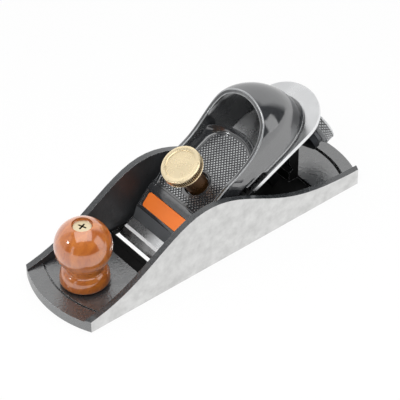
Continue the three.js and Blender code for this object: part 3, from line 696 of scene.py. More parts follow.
def carved(bm: BMesh, cutters: Sequence[BMesh]) -> BMesh:
    """Cuts closed shapes out of a closed shape.

    Args:
        bm: The shape that is cut. It is freed.
        cutters: The shapes that are taken away. They are freed.

    Returns:
        What is left.
    """
    meshes = [plain_mesh(shape, f"carving_{i}") for i, shape in enumerate((bm, *cutters))]
    objects = [put(mesh.name, mesh) for mesh in meshes]
    for tool in objects[1:]:
        modifier = objects[0].modifiers.new(tool.name, "BOOLEAN")
        modifier.operation = "DIFFERENCE"
        modifier.solver = "EXACT"
        modifier.object = tool
    graph = bpy.context.evaluated_depsgraph_get()
    left = bmesh.new()
    left.from_mesh(objects[0].evaluated_get(graph).data)
    for thing in objects:
        bpy.data.objects.remove(thing)
    for mesh in meshes:
        bpy.data.meshes.remove(mesh)
    return left


def merged(parts: Sequence[BMesh]) -> BMesh:
    """Puts several shapes into one mesh.

    Args:
        parts: The shapes. They are freed.

    Returns:
        The whole.
    """
    whole = bmesh.new()
    for part in parts:
        mesh = plain_mesh(part, "part")
        whole.from_mesh(mesh)
        bpy.data.meshes.remove(mesh)
    return whole


@dataclass
class Piece:
    """One piece of the plane and the CAD node that it stands for."""

    node: str
    body: Body
    slot: Slot
    finishes: tuple[Finish, ...]
    smooth: float = 34.0

    def settle(self, bm: BMesh, place: Matrix = PLAIN, level: bool = False) -> None:
        """Turns a mesh into the finished piece, riding on its body in place of its CAD node.

        Args:
            bm: The piece's mesh, in millimetres in its own frame. It is freed.
            place: The frame that it stands in.
            level: The mesh has large flat faces that keep their own shading.
        """
        bmesh.ops.transform(bm, matrix=Matrix.Scale(MM, 4) @ place, verts=bm.verts)
        mesh = plain_mesh(bm, f"{self.node}_finished")
        mesh.shade_smooth()
        mesh.set_sharp_from_angle(angle=math.radians(self.smooth))
        for finish in self.finishes:
            mesh.materials.append(finish.build())
        piece = put(mesh.name, mesh)
        if level:
            weighted = piece.modifiers.new("level_faces", "WEIGHTED_NORMAL")
            weighted.keep_sharp = True
            weighted.weight = 100
        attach(piece, self.body.value)
        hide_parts(self.node)
        LOG.info("%s: %d faces", piece.name, len(mesh.polygons))

    def settle_cad(self, arris: float, shortest: float = 0.0) -> None:
        """Makes the piece from its CAD node, with its edges broken, and settles it.

        Args:
            arris: How far the rounding reaches from an edge.
            shortest: Edges shorter than this stay sharp.
        """
        bm = cad_copy(self.node)
        soften(bm, arris, angle=40.0, shortest=shortest)
        self.settle(bm, level=True)


# ---- casting -------------------------------------------------------------------------------------


class Coat(IntEnum):
    """The finishes of the casting, by their numbers on its mesh."""

    ENAMEL = 0
    GROUND = 1
    # Number 2 is a painted highlight on the rounded arrises, number 3 painted shade in the throat,
    # the well and the heel's groove.
    EDGE = 2
    PAINTED_SHADE = 3
    CHEEK = 4
    RIM = 5


@dataclass
class BodyCasting:
    """The iron body: ground outside and under the sole, enamelled everywhere else, with a painted
    highlight on its arrises and painted shade in the throat, the well and the heel's groove.
    """

    half_width: float = 25.6
    ground_skin: float = 0.3
    cheek_skin: float = 5.0
    rim_skin: float = 4.0
    throat_skin: float = 3.0
    well_skin: float = 3.6
    throat: tuple[float, float] = (38.0, 45.2)
    throat_top: float = 5.2
    heel_deck: float = -61.2
    groove: tuple[float, float] = (3.7, 4.45)
    rounding: float = 0.5

    def coat(self, face: BMFace) -> Coat:
        """Tells which finish a face has.

        Args:
            face: A face of the body, on which the rounded edges already have their finish.

        Returns:
            Its finish. The roundings keep theirs, except on ground faces and in the throat.
        """
        middle, normal = face.calc_center_median(), face.normal
        inward = self.half_width - abs(middle.y)
        cheek = inward < self.ground_skin and abs(normal.y) > 0.5
        sole = middle.z < self.ground_skin and normal.z < -0.5
        if cheek or sole:
            return Coat.GROUND
        # Painted shade: the throat below its top is near black.
        rear, front = self.throat
        if rear < middle.x < front and inward > self.throat_skin and middle.z < self.throat_top:
            return Coat.PAINTED_SHADE
        if face.material_index != Coat.ENAMEL:
            return Coat(face.material_index)
        # Painted shade: the well between the heel deck and the throat, and the heel's groove, are
        # near black.
        well = self.heel_deck < middle.x < rear and inward > self.well_skin
        low, high = self.groove
        if well or (middle.x < self.heel_deck and low < middle.z < high):
            return Coat.PAINTED_SHADE
        if inward < self.cheek_skin and abs(normal.y) > 0.7:
            return Coat.CHEEK
        if inward < self.rim_skin and normal.z > 0.5:
            return Coat.RIM
        return Coat.ENAMEL

    def build(self) -> None:
        """Makes the body."""
        bm = cad_copy("body")
        # The roundings take the painted arris highlight.
        soften(bm, self.rounding, angle=38.0, shortest=0.8, finish=Coat.EDGE)
        for face in bm.faces:
            face.material_index = self.coat(face)
        finishes = (ENAMEL, GROUND_IRON, ARRIS_HIGHLIGHT_ENAMEL, WELL_PAINTED_SHADE, CHEEK_BLACK, RIM_ENAMEL)
        Piece("body", Body.CASTING, Slot.IRON, finishes).settle(bm, level=True)


# ---- front knob ----------------------------------------------------------------------------------


@dataclass
class FrontKnob:
    """The turned wooden knob and the brass screw that holds it."""

    base: float = 5.7
    bore: float = 2.9
    ball_radius: float = 13.84
    ball_height: float = 27.24
    neck_radius: float = 9.4
    bead_radius: float = 12.1
    bead_swell: float = 3.2
    bead_low: float = 2.0
    bead_high: float = 6.9
    bead_turn: float = 166.0
    bead_step: float = 0.25
    face_radius: float = 5.0
    screw_top: float = 39.05
    head_radius: float = 4.6
    head_depth: float = 2.4
    shank_radius: float = 2.5
    shank_end: float = 1.7
    cross_width: float = 0.95
    cross_length: float = 4.9
    cross_depth: float = 1.2
    cross_turn: float = 20.0

    def profile(self) -> list[tuple[float, float]]:
        """Works out the knob's profile.

        Returns:
            Radius and height of each corner, from the foot of the bore to its top.
        """
        points = [(self.bore, self.base)]
        for i in range(31):
            angle = math.radians(-90 + self.bead_turn * i / 30)
            rise = self.bead_low if angle < 0 else self.bead_high
            points.append((
                self.bead_radius - self.bead_swell + self.bead_swell * math.cos(angle),
                self.base + self.bead_low + rise * math.sin(angle),
            ))
        foot = (points[-1][0] - self.bead_step, points[-1][1] + self.bead_step)
        points.append(foot)
        ball_start = -math.acos(self.neck_radius / self.ball_radius)
        neck_top = self.ball_height + self.ball_radius * math.sin(ball_start)
        for i in range(1, 8):
            share = i / 8
            sweep = 0.5 - 0.5 * math.cos(math.pi * share)
            points.append((
                foot[0] + (self.neck_radius - foot[0]) * min(1.0, 1.9 * share) ** 0.6,
                foot[1] + (neck_top - foot[1]) * sweep,
            ))
        ball_end = math.acos(self.face_radius / self.ball_radius)
        for i in range(41):
            angle = ball_start + (ball_end - ball_start) * i / 40
            points.append((
                self.ball_radius * math.cos(angle),
                self.ball_height + self.ball_radius * math.sin(angle),
            ))
        points.append((self.face_radius, self.screw_top))
        points.append((self.bore, self.screw_top - self.head_depth))
        return points

    def build(self) -> None:
        """Makes the knob and its screw."""
        knob = turned(self.profile(), closed=True)
        Piece("front_knob", Body.CASTING, Slot.WOOD, (BEECH,), smooth=40.0).settle(knob, KNOB)

        low = self.screw_top - self.head_depth
        screw = turned([
            (0, self.shank_end),
            (self.shank_radius, self.shank_end),
            (self.shank_radius, low),
            (self.head_radius, self.screw_top - 0.35),
            (self.head_radius * 0.93, self.screw_top - 0.05),
            (self.head_radius * 0.55, self.screw_top),
            (0, self.screw_top),
        ], steps=48)
        screw = carved(screw, [self.cross_arm(turn) for turn in (0, 90)])
        Piece("knob_screw", Body.CASTING, Slot.BRASS, (SCREW_BRASS,)).settle(screw, KNOB)

    def cross_arm(self, turn: float) -> BMesh:
        """Makes one tapered arm of the driver's cross.

        Args:
            turn: The arm's turn within the cross, in degrees.

        Returns:
            The arm, as a shape to cut out.
        """
        bm = bmesh.new()
        bmesh.ops.create_cone(
            bm, cap_ends=True, segments=4, radius1=0.35, radius2=0.7071, depth=1.0
        )
        shape = (
            Matrix.Translation((0, 0, self.screw_top - self.cross_depth / 2 + 0.1))
            @ Matrix.Rotation(math.radians(turn + self.cross_turn), 4, "Z")
            @ Matrix.Diagonal((self.cross_length, self.cross_width, self.cross_depth + 0.2, 1))
            @ Matrix.Rotation(math.radians(45), 4, "Z")
        )
        bmesh.ops.transform(bm, matrix=shape, verts=bm.verts)
        return bm


# ---- cutter --------------------------------------------------------------------------------------


@dataclass
class Cutter:
    """The blade and the block that carries it back and forth."""

    arris: float = 0.2
    shortest: float = 0.5

    def build(self) -> None:
        """Makes the blade and the block."""
        for node, slot, finish in (
            ("blade", Slot.CUTTER_STEEL, CUTTER_STEEL),
            ("adjuster_block", Slot.DARK_STEEL, DARK_STEEL),
        ):
            Piece(node, Body.CUTTER, slot, (finish,)).settle_cad(self.arris, self.shortest)


# ---- lever cap -----------------------------------------------------------------------------------


class CapCoat(IntEnum):
    """The finishes of the cap, by their numbers on its mesh."""

    ENAMEL = 0
    TIPS = 1
    # Number 2 is a painted highlight on the cap's rounded edges.
    EDGE = 2
    TOE = 3


@dataclass
class LeverCap:
    """The enamelled cap: hood, plate, knurled panel and the film on its slope."""

    wall: float = 2.2
    toe: float = 10.4
    sole: float = 2.5
    slope_start: tuple[float, float] = (15.2, 6.9)
    slope_end: tuple[float, float] = (25.8, 11.4)
    slope_middle: tuple[float, float] = (20.5, 9.15)
    slope_under: tuple[float, float] = (18.6, 5.5)
    plate_arris: float = 0.45
    panel_front: float = 28.6
    panel_height: float = 11.4
    plate_thickness: float = 3.6
    panel_half: float = 14.5
    panel_round: float = 62.0
    panel_round_length: float = 9.0
    panel_margin: float = 0.9
    flare: float = 54.0
    flare_front: float = 32.0
    wide_half: float = 19.7
    foot_half: float = 18.0
    hood_height: float = 34.5
    shoulder: float = 19.7
    crown: float = 87.5
    rail_height: float = 17.7
    rail_drop: float = 6.3
    rail_rear: float = 49.6
    rail_depth: float = 4.1
    rim_power: float = 2.1
    rim_round: float = 0.5
    rim_steps: int = 3
    hood_round: float = 78.5
    hood_rear: float = 104.0
    foot_power: float = 2.2
    top_power: float = 1.8
    plate_rear: float = 36.6
    arch_front: float = 42.1
    arch_top_rear: float = 50.5
    arch_rear: float = 56.0
    skirt_step: float = 67.5
    skirt_rise: float = 2.1
    skirt_proud: float = 0.4
    flange_height: float = 1.2
    flange_proud: float = 1.6
    slope_width: float = 3.6
    lip_length: float = 12.0
    lip_rise: float = 2.0
    lip_thickness: float = 1.5
    screw_station: float = 40.95
    screw_clearing: float = 7.9
    seat_radius: float = 6.4
    seat_low: float = 8.4
    boss_low: float = 5.8
    boss_radius: float = 9.0
    boss_bore: float = 4.4
    film_length: float = 7.8
    film_width: float = 34.0
    film_corner: float = 1.4
    film_proud: float = 0.3
    film_thickness: float = 0.8
    film_arris: float = 0.12
    seat_gap: tuple[float, float] = (0.6, 3.6)
    knurl_pitch: float = 2.0
    knurl_row: float = 0.963
    knurl_height: float = 0.42
    knurl_foot: float = 0.97
    knurl_tip: float = 0.5
    knurl_field: float = 45.0
    knurl_margin: float = 0.55
    border_width: float = 0.7
    border_height: float = 0.3
    flank_steps: int = 30
    rear_steps: int = 56
    wall_rows: int = 18

    def rim_height(self, station: float) -> float:
        """Gives the height of the rim's edge.

        Args:
            station: How far up the bed.

        Returns:
            The height off the bed.
        """
        if station < self.rail_rear:
            fall = min(1.0, (self.rail_rear - station) / (self.rail_rear - self.panel_front))
            return self.rail_height - self.rail_drop * fall ** 1.5
        reach = (station - self.rail_rear) / (self.crown - self.rail_rear)
        return self.rail_height + (self.hood_height - self.rail_height) * reach ** self.rim_power

    def half_width(self, height: float, inset: float) -> float:
        """Gives half the hood's width.

        Args:
            height: Height off the bed.
            inset: How far the skin is set in from the outside.

        Returns:
            Half the width of that skin.
        """
        top = self.hood_height - inset
        foot = self.foot_half - inset
        wide = self.wide_half - inset
        flank = min(1.0, (height - self.sole) / (self.shoulder - self.sole))
        arch = max(0.0, (height - self.shoulder) / (top - self.shoulder))
        return (foot + (wide - foot) * flank) * math.sqrt(max(0.0, 1 - arch * arch))

    def rear_point(self, angle: float, height: float, inset: float) -> Vector:
        """Finds a point of the hood's rounded rear.

        Args:
            angle: Turn from straight back, in radians.
            height: Height off the bed.
            inset: How far the skin is set in from the outside.

        Returns:
            The point in the bed's frame.
        """
        top = self.hood_height - inset
        rise = min(1.0, max(0.0, (height - self.sole) / (top - self.sole)))
        reach = (self.hood_rear - inset - self.hood_round) * math.sqrt(1 - rise * rise)
        power = self.foot_power + (self.top_power - self.foot_power) * rise
        cosine, sine = max(0.0, math.cos(angle)), math.sin(angle)
        half = self.half_width(height, inset)
        side = math.copysign(abs(sine) ** (2 / power), sine)
        return Vector((self.hood_round + reach * cosine ** (2 / power), half * side, height))

    def crossing(self, angle: float, inset: float) -> float:
        """Finds the height at which the rim cuts a column of the rear.

        Args:
            angle: The column's turn from straight back, in radians.
            inset: How far the skin is set in from the outside.

        Returns:
            The height off the bed.
        """
        low, high = self.sole, self.hood_height - inset
        for _ in range(40):
            middle = (low + high) / 2
            if self.rim_height(self.rear_point(angle, middle, inset).x) > middle:
                low = middle
            else:
                high = middle
        return low

    def floor_height(self, station: float) -> float:
        """Gives the height of the shell's lower edge.

        Args:
            station: How far up the bed.

        Returns:
            The height off the bed.
        """
        under = self.panel_height - self.plate_thickness
        rail = self.rail_height - self.rail_depth
        raised = self.sole + self.skirt_rise
        marks = [
            (0.0, under),
            (self.plate_rear, under),
            (self.arch_front, rail),
            (self.arch_top_rear, rail),
            (self.arch_rear, raised),
            (self.skirt_step - 0.2, raised),
            (self.skirt_step + 0.2, self.sole),
            (200.0, self.sole),
        ]
        for (a, low), (b, high) in zip(marks, marks[1:]):
            if station <= b:
                return low + (high - low) * (station - a) / (b - a)
        return self.sole

    def wall_section(
        self,
        point: Callable[[float, float], Vector],
        tops: tuple[float, float],
        floor: float,
        proud: float,
        outward: Vector,
    ) -> list[Vector]:
        """Makes the section of the shell at one column, with a rounded rim and flange.

        Args:
            point: Gives a skin point from its height and inset.
            tops: Heights of the rim on the outer and the inner skin.
            floor: Height of the lower edge.
            proud: How far the flange stands out.
            outward: The way out from the shell.

        Returns:
            The closed loop of the section.
        """
        rows, turns, radius = self.wall_rows, self.rim_steps, self.rim_round
        flange_top = floor + self.flange_height
        low = flange_top + 0.9
        arris = min(0.22, 0.5 * proud)
        flange = [
            (floor, proud - arris),
            (floor + arris, proud),
            (flange_top - arris, proud),
            (flange_top - 0.3 * arris, proud - 0.3 * arris),
            (flange_top, proud - arris),
            (flange_top + 0.35, min(proud - arris, 0.12)),
        ]
        loop = [point(height, 0) + outward * reach for height, reach in flange]
        probe = 0.1
        drop = radius * probe / (point(tops[0] - probe, 0) - point(tops[0], 0)).length
        for i in range(rows):
            loop.append(point(low + (tops[0] - drop - low) * i / rows, 0))
        for outer in (True, False):
            for i in range(turns + 1):
                angle = math.pi / 2 * (i if outer else turns - i) / turns
                inset = radius * (1 - math.cos(angle))
                if not outer:
                    inset = self.wall - inset
                top = tops[0] + (tops[1] - tops[0]) * inset / self.wall
                loop.append(point(top - drop * (1 - math.sin(angle)), inset))
        for i in range(1, rows + 1):
            loop.append(point(floor + (tops[1] - drop - floor) * (1 - i / rows), self.wall))
        return loop

    def flank(self, side: int, share: float) -> list[Vector]:
        """Makes the shell's section on a flank.

        Args:
            side: The flank, 1 or -1.
            share: How far back along it, from 0 to 1.

        Returns:
            The closed loop of the section.
        """
        start = self.panel_front - 1.5
        station = start + (self.hood_round - self.panel_front + 1.5) * share
        top = self.rim_height(station)
        return self.wall_section(
            lambda height, inset: Vector((station, side * self.half_width(height, inset), height)),
            (top, top),
            self.floor_height(station),
            self.skirt_proud if station > self.skirt_step else 0.0,
            Vector((0, side, 0)),
        )

    def rear(self, angle: float) -> list[Vector]:
        """Makes the shell's section at a column of the rounded rear.

        Args:
            angle: The column's turn from straight back, in radians.

        Returns:
            The closed loop of the section.
        """
        more = self.flange_proud - self.skirt_proud
        return self.wall_section(
            lambda height, inset: self.rear_point(angle, height, inset),
            (self.crossing(angle, 0), self.crossing(angle, self.wall)),
            self.sole,
            self.skirt_proud + more * math.cos(angle) ** 2,
            Vector((math.cos(angle), math.sin(angle), 0)),
        )

    def hood(self) -> BMesh:
        """Makes the hood and its flanks as one shell.

        Returns:
            The shell, in the bed's frame.
        """
        steps = self.flank_steps
        sections = [self.flank(-1, i / steps) for i in range(steps)]
        for i in range(self.rear_steps + 1):
            sections.append(self.rear(math.pi * (i / self.rear_steps - 0.5)))
        sections += [self.flank(1, i / steps) for i in range(steps - 1, -1, -1)]
        rim = 6 + self.wall_rows
        turns = self.rim_steps + 1
        # The flange's and the rim's rounded bands take the painted edge highlight.
        painted_highlight_bands = (range(2, 5), range(rim, rim + turns), range(rim + turns, rim + 2 * turns))
        return lofted(sections, painted_highlight_bands, CapCoat.EDGE)

    def panel_edge(self, station: float) -> float:
        """Gives half the panel's width at a station ahead of its rounded rear."""
        lean = (self.wide_half - self.panel_half) / (self.flare - self.flare_front)
        return min(self.wide_half, self.panel_half + max(0.0, self.flare - station) * lean)

    def plate(self) -> BMesh:
        """Makes the sloping front and the flat plate, with the seats of the screw and the film.

        Returns:
            The plate, in the bed's frame.
        """
        under = self.panel_height - self.plate_thickness
        rails = [
            ((self.toe, self.sole), (self.toe + 0.4, self.sole - 0.02), self.wide_half),
            (self.slope_start, (self.toe + 3.2, self.sole + 0.1), self.wide_half),
            (self.slope_middle, self.slope_under, self.wide_half),
            (self.slope_end, (self.slope_end[0], 7.2), self.wide_half),
            ((self.panel_front, self.panel_height), (self.panel_front, under), self.wide_half),
        ]
        step = 3.0
        count = math.ceil((self.panel_round - self.flare_front) / step)
        ahead = [self.flare_front + step * i for i in range(count)]
        stations = [(x, self.panel_edge(x)) for x in ahead]
        for i in range(13):
            angle = math.radians(88) * i / 12
            stations.append((
                self.panel_round + self.panel_round_length * math.sin(angle),
                self.panel_half * math.cos(angle),
            ))
        rails += [((x, self.panel_height), (x, under), half) for x, half in stations]
        columns = 24
        sections = []
        for (top_station, top), (low_station, low), half in rails:
            across = [half * (2 * i / columns - 1) for i in range(columns + 1)]
            back = [half * (1 - 2 * i / columns) for i in range(columns + 1)]
            sections.append(
                [Vector((top_station, y, top)) for y in across]
                + [Vector((low_station, y, low)) for y in back]
            )
        bm = carved(lofted(sections), [self.screw_seat(), self.film_seat()])
        # The roundings take the painted edge highlight.
        soften(bm, self.plate_arris, angle=30.0, shortest=0.3, finish=CapCoat.EDGE)
        for face in bm.faces:
            toe = face.calc_center_median().x < self.slope_start[0] + 0.3
            if toe and face.material_index == CapCoat.ENAMEL:
                face.material_index = CapCoat.TOE
        return bm

    def screw_seat(self) -> BMesh:
        """Makes the round space that the clamp screw's shoulder sits in.

        Returns:
            The space, as a shape to cut out.
        """
        depth = 10.0
        bm = bmesh.new()
        bmesh.ops.create_cone(
            bm, cap_ends=True, segments=64, radius1=self.seat_radius, radius2=self.seat_radius,
            depth=depth,
            matrix=CLAMP_ON_BED @ Matrix.Translation((0, 0, self.seat_low + depth / 2)),
        )
        return bm

    def film_frame(self) -> Matrix:
        """Gives the frame of the slope's middle.

        Returns:
            The frame, in the bed's frame.
        """
        (a, low), (b, high) = self.slope_start, self.slope_end
        tilt = math.atan2(high - low, b - a)
        middle = Matrix.Translation(((a + b) / 2, 0, (low + high) / 2))
        return middle @ Matrix.Rotation(-tilt, 4, "Y")

    def film_seat(self) -> BMesh:
        """Makes the shallow space that the film lies in.

        Returns:
            The space, as a shape to cut out.
        """
        along, across = self.seat_gap
        depth = self.film_thickness - self.film_proud + 0.3
        size = Matrix.Diagonal((self.film_length + along, self.film_width + across, 2 * depth, 1))
        bm = bmesh.new()
        bmesh.ops.create_cube(bm, size=1.0, matrix=self.film_frame() @ size)
        return bm

    def surround(self) -> BMesh:
        """Makes the slope round the panel, which rises to the rails and to the lip behind it.

        Returns:
            The slope, in the bed's frame.
        """
        path: list[tuple[Vector, Vector, float]] = []
        limit = self.wide_half - self.wall / 2
        front = self.flare_front + 0.5
        steps = 16
        for i in range(steps):
            station = front + (self.panel_round - self.flare_front - 0.5) * i / steps
            edge = self.panel_edge(station)
            reach = max(0.05, min(self.slope_width, limit - edge))
            rise = self.rail_drop * reach / self.slope_width
            path.append((Vector((station, edge, 0)), Vector((station, edge + reach, 0)), rise))
        turns = 28
        lip = self.lip_length - self.lip_thickness * 0.6
        for i in range(turns // 2 + 1):
            angle = math.pi / 2 * (1 - 2 * i / turns)
            cosine, sine = math.cos(angle), math.sin(angle)
            side = self.panel_half * sine
            inner = Vector((self.panel_round + self.panel_round_length * cosine, side, 0))
            side = (self.panel_half + self.slope_width) * sine
            outer = Vector((self.panel_round + lip * cosine, side, 0))
            path.append((inner, outer, self.rail_drop))
        mirrored = [
            (Vector((a.x, -a.y, 0)), Vector((b.x, -b.y, 0)), rise) for a, b, rise in path[-2::-1]
        ]
        return lofted([self.surround_section(*place) for place in path + mirrored])

    def surround_section(self, inner: Vector, outer: Vector, rise: float) -> list[Vector]:
        """Makes one section of the slope round the panel.

        Args:
            inner: The panel's edge.
            outer: The crest's edge.
            rise: The height that the slope would reach without the crest line's limit.

        Returns:
            The closed loop of the section.
        """
        lip_rear = self.panel_round + self.lip_length
        crest = self.rail_height - (self.rail_height - self.panel_height - self.lip_rise) * max(
            0.0, (outer.x - self.arch_rear) / (lip_rear - self.arch_rear)
        )
        top = min(self.panel_height + rise, crest, self.rim_height(outer.x) - 0.15)
        out = (outer - inner).normalized() if (outer - inner).length > 0.01 else Vector((0, 1, 0))
        up = Vector((0, 0, 1))
        steps = 9
        start = inner - out * 0.3
        loop = [start + up * (self.panel_height - 0.2)]
        for i in range(steps + 1):
            share = i / steps
            height = self.panel_height + (top - self.panel_height) * share ** 1.7
            loop.append(inner.lerp(outer, share) + up * height)
        width = self.lip_thickness * 0.45
        under = self.panel_height - self.plate_thickness
        for reach, height in (
            (width * 0.5, top + 0.06),
            (width, top - 0.12),
            (width + 0.15, top - 0.6),
            (width + 0.15, under),
        ):
            loop.append(outer + out * reach + up * height)
        loop.append(start + up * under)
        return loop

    def panel_outline(self, inset: float) -> list[Vector]:
        """Gives the panel's outline.

        Args:
            inset: How far it is set in.

        Returns:
            The outline as a closed loop.
        """
        front = self.panel_front + inset
        corner = self.wide_half - self.panel_margin - inset
        stations = (self.flare_front + inset, 36.0, 40.0, 44.0, 48.0, self.flare, 58.0)
        sides = [(x, min(corner, self.panel_edge(x) - inset)) for x in stations]
        spots = [(front, y) for y in (-corner, -corner / 3, corner / 3, corner)]
        spots += sides
        for i in range(33):
            angle = math.pi / 2 - math.pi * i / 32
            spots.append((
                self.panel_round + (self.panel_round_length - inset) * math.cos(angle),
                (self.panel_half - inset) * math.sin(angle),
            ))
        spots += [(x, -y) for x, y in reversed(sides)]
        return [Vector((x, y, 0)) for x, y in spots]

    def border(self) -> BMesh:
        """Makes the narrow raised border of the panel.

        Returns:
            The border, in the bed's frame.
        """
        low, high = self.panel_height - 0.5, self.panel_height + self.border_height
        width = self.border_width
        rings = [
            [Vector((p.x, p.y, height)) for p in self.panel_outline(inset)]
            for inset, height in (
                (0.0, low), (0.0, high - 0.08), (0.15, high),
                (width - 0.15, high), (width, high - 0.08), (width, low),
            )
        ]
        loops = list(zip(*rings))
        bm = lofted([*loops, loops[0]])
        bmesh.ops.remove_doubles(bm, verts=bm.verts, dist=0.002)
        return bm

    def inside_panel(self, spot: Vector, inset: float) -> bool:
        """Tells whether a spot lies inside the panel and clear of the clamp screw's bead.

        Args:
            spot: The spot, on the bed.
            inset: How far inside the panel's outline it has to lie.

        Returns:
            Whether it does.
        """
        screw = Vector((self.screw_station, 0, 0))
        if spot.x < self.panel_front + inset or (spot - screw).length < self.screw_clearing:
            return False
        if spot.x <= self.panel_round:
            limit = min(self.wide_half - self.panel_margin, self.panel_edge(spot.x))
            return abs(spot.y) < limit - inset
        far = (spot.x - self.panel_round) / (self.panel_round_length - inset)
        side = spot.y / (self.panel_half - inset)
        return far * far + side * side < 1

    def knurls(self) -> BMesh:
        """Makes the field of small blunt pyramids on the panel.

        Returns:
            The pyramids, in the bed's frame.
        """
        bm = bmesh.new()
        rows = int(2 * self.wide_half / self.knurl_row)
        columns = int(self.knurl_field / self.knurl_pitch)
        middle = self.panel_height + self.knurl_height / 2 - 0.05
        for row in range(-rows // 2, rows // 2 + 1):
            for column in range(columns + 1):
                shift = 0.5 if row % 2 else 0.0
                station = self.panel_front + (column + shift + 0.4) * self.knurl_pitch
                spot = Vector((station, row * self.knurl_row, 0))
                if self.inside_panel(spot, self.border_width + self.knurl_margin):
                    bmesh.ops.create_cone(
                        bm, cap_ends=True, segments=4, radius1=self.knurl_foot,
                        radius2=self.knurl_tip, depth=self.knurl_height + 0.1,
                        matrix=Matrix.Translation((spot.x, spot.y, middle)),
                    )
        for face in bm.faces:
            face.material_index = CapCoat.TIPS if face.normal.z > 0.9 else CapCoat.ENAMEL
        return bm

    def screw_ring(self) -> BMesh:
        """Makes the boss under the plate and the bead round the screw's seat.

        Returns:
            Both, in the bed's frame.
        """
        bead, top, foot = self.seat_radius, self.panel_height, self.seat_low + 0.6
        ring = turned([
            (bead, foot),
            (bead, top + 0.25),
            (bead + 0.25, top + 0.42),
            (bead + 0.65, top + 0.42),
            (bead + 0.95, top + 0.15),
            (bead + 1.0, foot),
        ], steps=64, closed=True)
        boss = turned([
            (self.boss_bore, self.boss_low),
            (self.boss_radius - 0.4, self.boss_low),
            (self.boss_radius, self.boss_low + 0.4),
            (self.boss_radius, self.seat_low),
            (self.boss_bore, self.seat_low),
        ], steps=64, closed=True)
        bm = merged([ring, boss])
        bmesh.ops.transform(bm, matrix=CLAMP_ON_BED, verts=bm.verts)
        return bm

    def film(self) -> BMesh:
        """Makes the bare film with rounded corners.

        Returns:
            The film, in the bed's frame.
        """
        bm = bmesh.new()
        bmesh.ops.create_cube(bm, size=1.0, matrix=Matrix.Diagonal(
            (self.film_length, self.film_width, self.film_thickness, 1)
        ))
        corners = [e for e in bm.edges if abs((e.verts[0].co - e.verts[1].co).z) > 0.1]
        bevelled(bm, corners, self.film_corner, 6)
        soften(bm, self.film_arris, angle=60.0)
        middle = Matrix.Translation((0, 0, self.film_proud - self.film_thickness / 2))
        bmesh.ops.transform(bm, matrix=self.film_frame() @ middle, verts=bm.verts)
        return bm

    def build(self) -> None:
        """Makes the cap and its film."""
        whole = merged([
            self.hood(), self.plate(), self.surround(), self.border(), self.screw_ring(),
            self.knurls(),
        ])
        finishes = (CAP_ENAMEL, RUBBED_TIPS, CAP_ARRIS_HIGHLIGHT, CAP_TOE)
        Piece("lever_cap", Body.CAP, Slot.CAP_ENAMEL, finishes).settle(whole, BED, level=True)
        badge = Piece("cap_badge", Body.CAP, Slot.BADGE_ORANGE, (FILM,))
        badge.settle(self.film(), BED, level=True)


# ---- knurled pieces ------------------------------------------------------------------------------


def knurled(
    bm: BMesh,
    steps: int,
    radius: float,
    band: tuple[float, float],
    depth: Callable[[int, float], float],
) -> None:
    """Presses a knurl into the outside of a turned shape.

    Args:
        bm: The shape, spun about Z.
        steps: The spin's steps.
        radius: The radius outside the knurl.
        band: Heights between which it is pressed.
        depth: Gives how deep it is at a step and a height.
    """
    for vert in bm.verts:
        distance = math.hypot(vert.co.x, vert.co.y)
        if distance > radius - 0.01 and band[0] < vert.co.z < band[1]:
            step = round(math.atan2(vert.co.y, vert.co.x) / FULL_TURN * steps)
            shrink = 1 - depth(step, vert.co.z) / distance
            vert.co.x *= shrink
            vert.co.y *= shrink


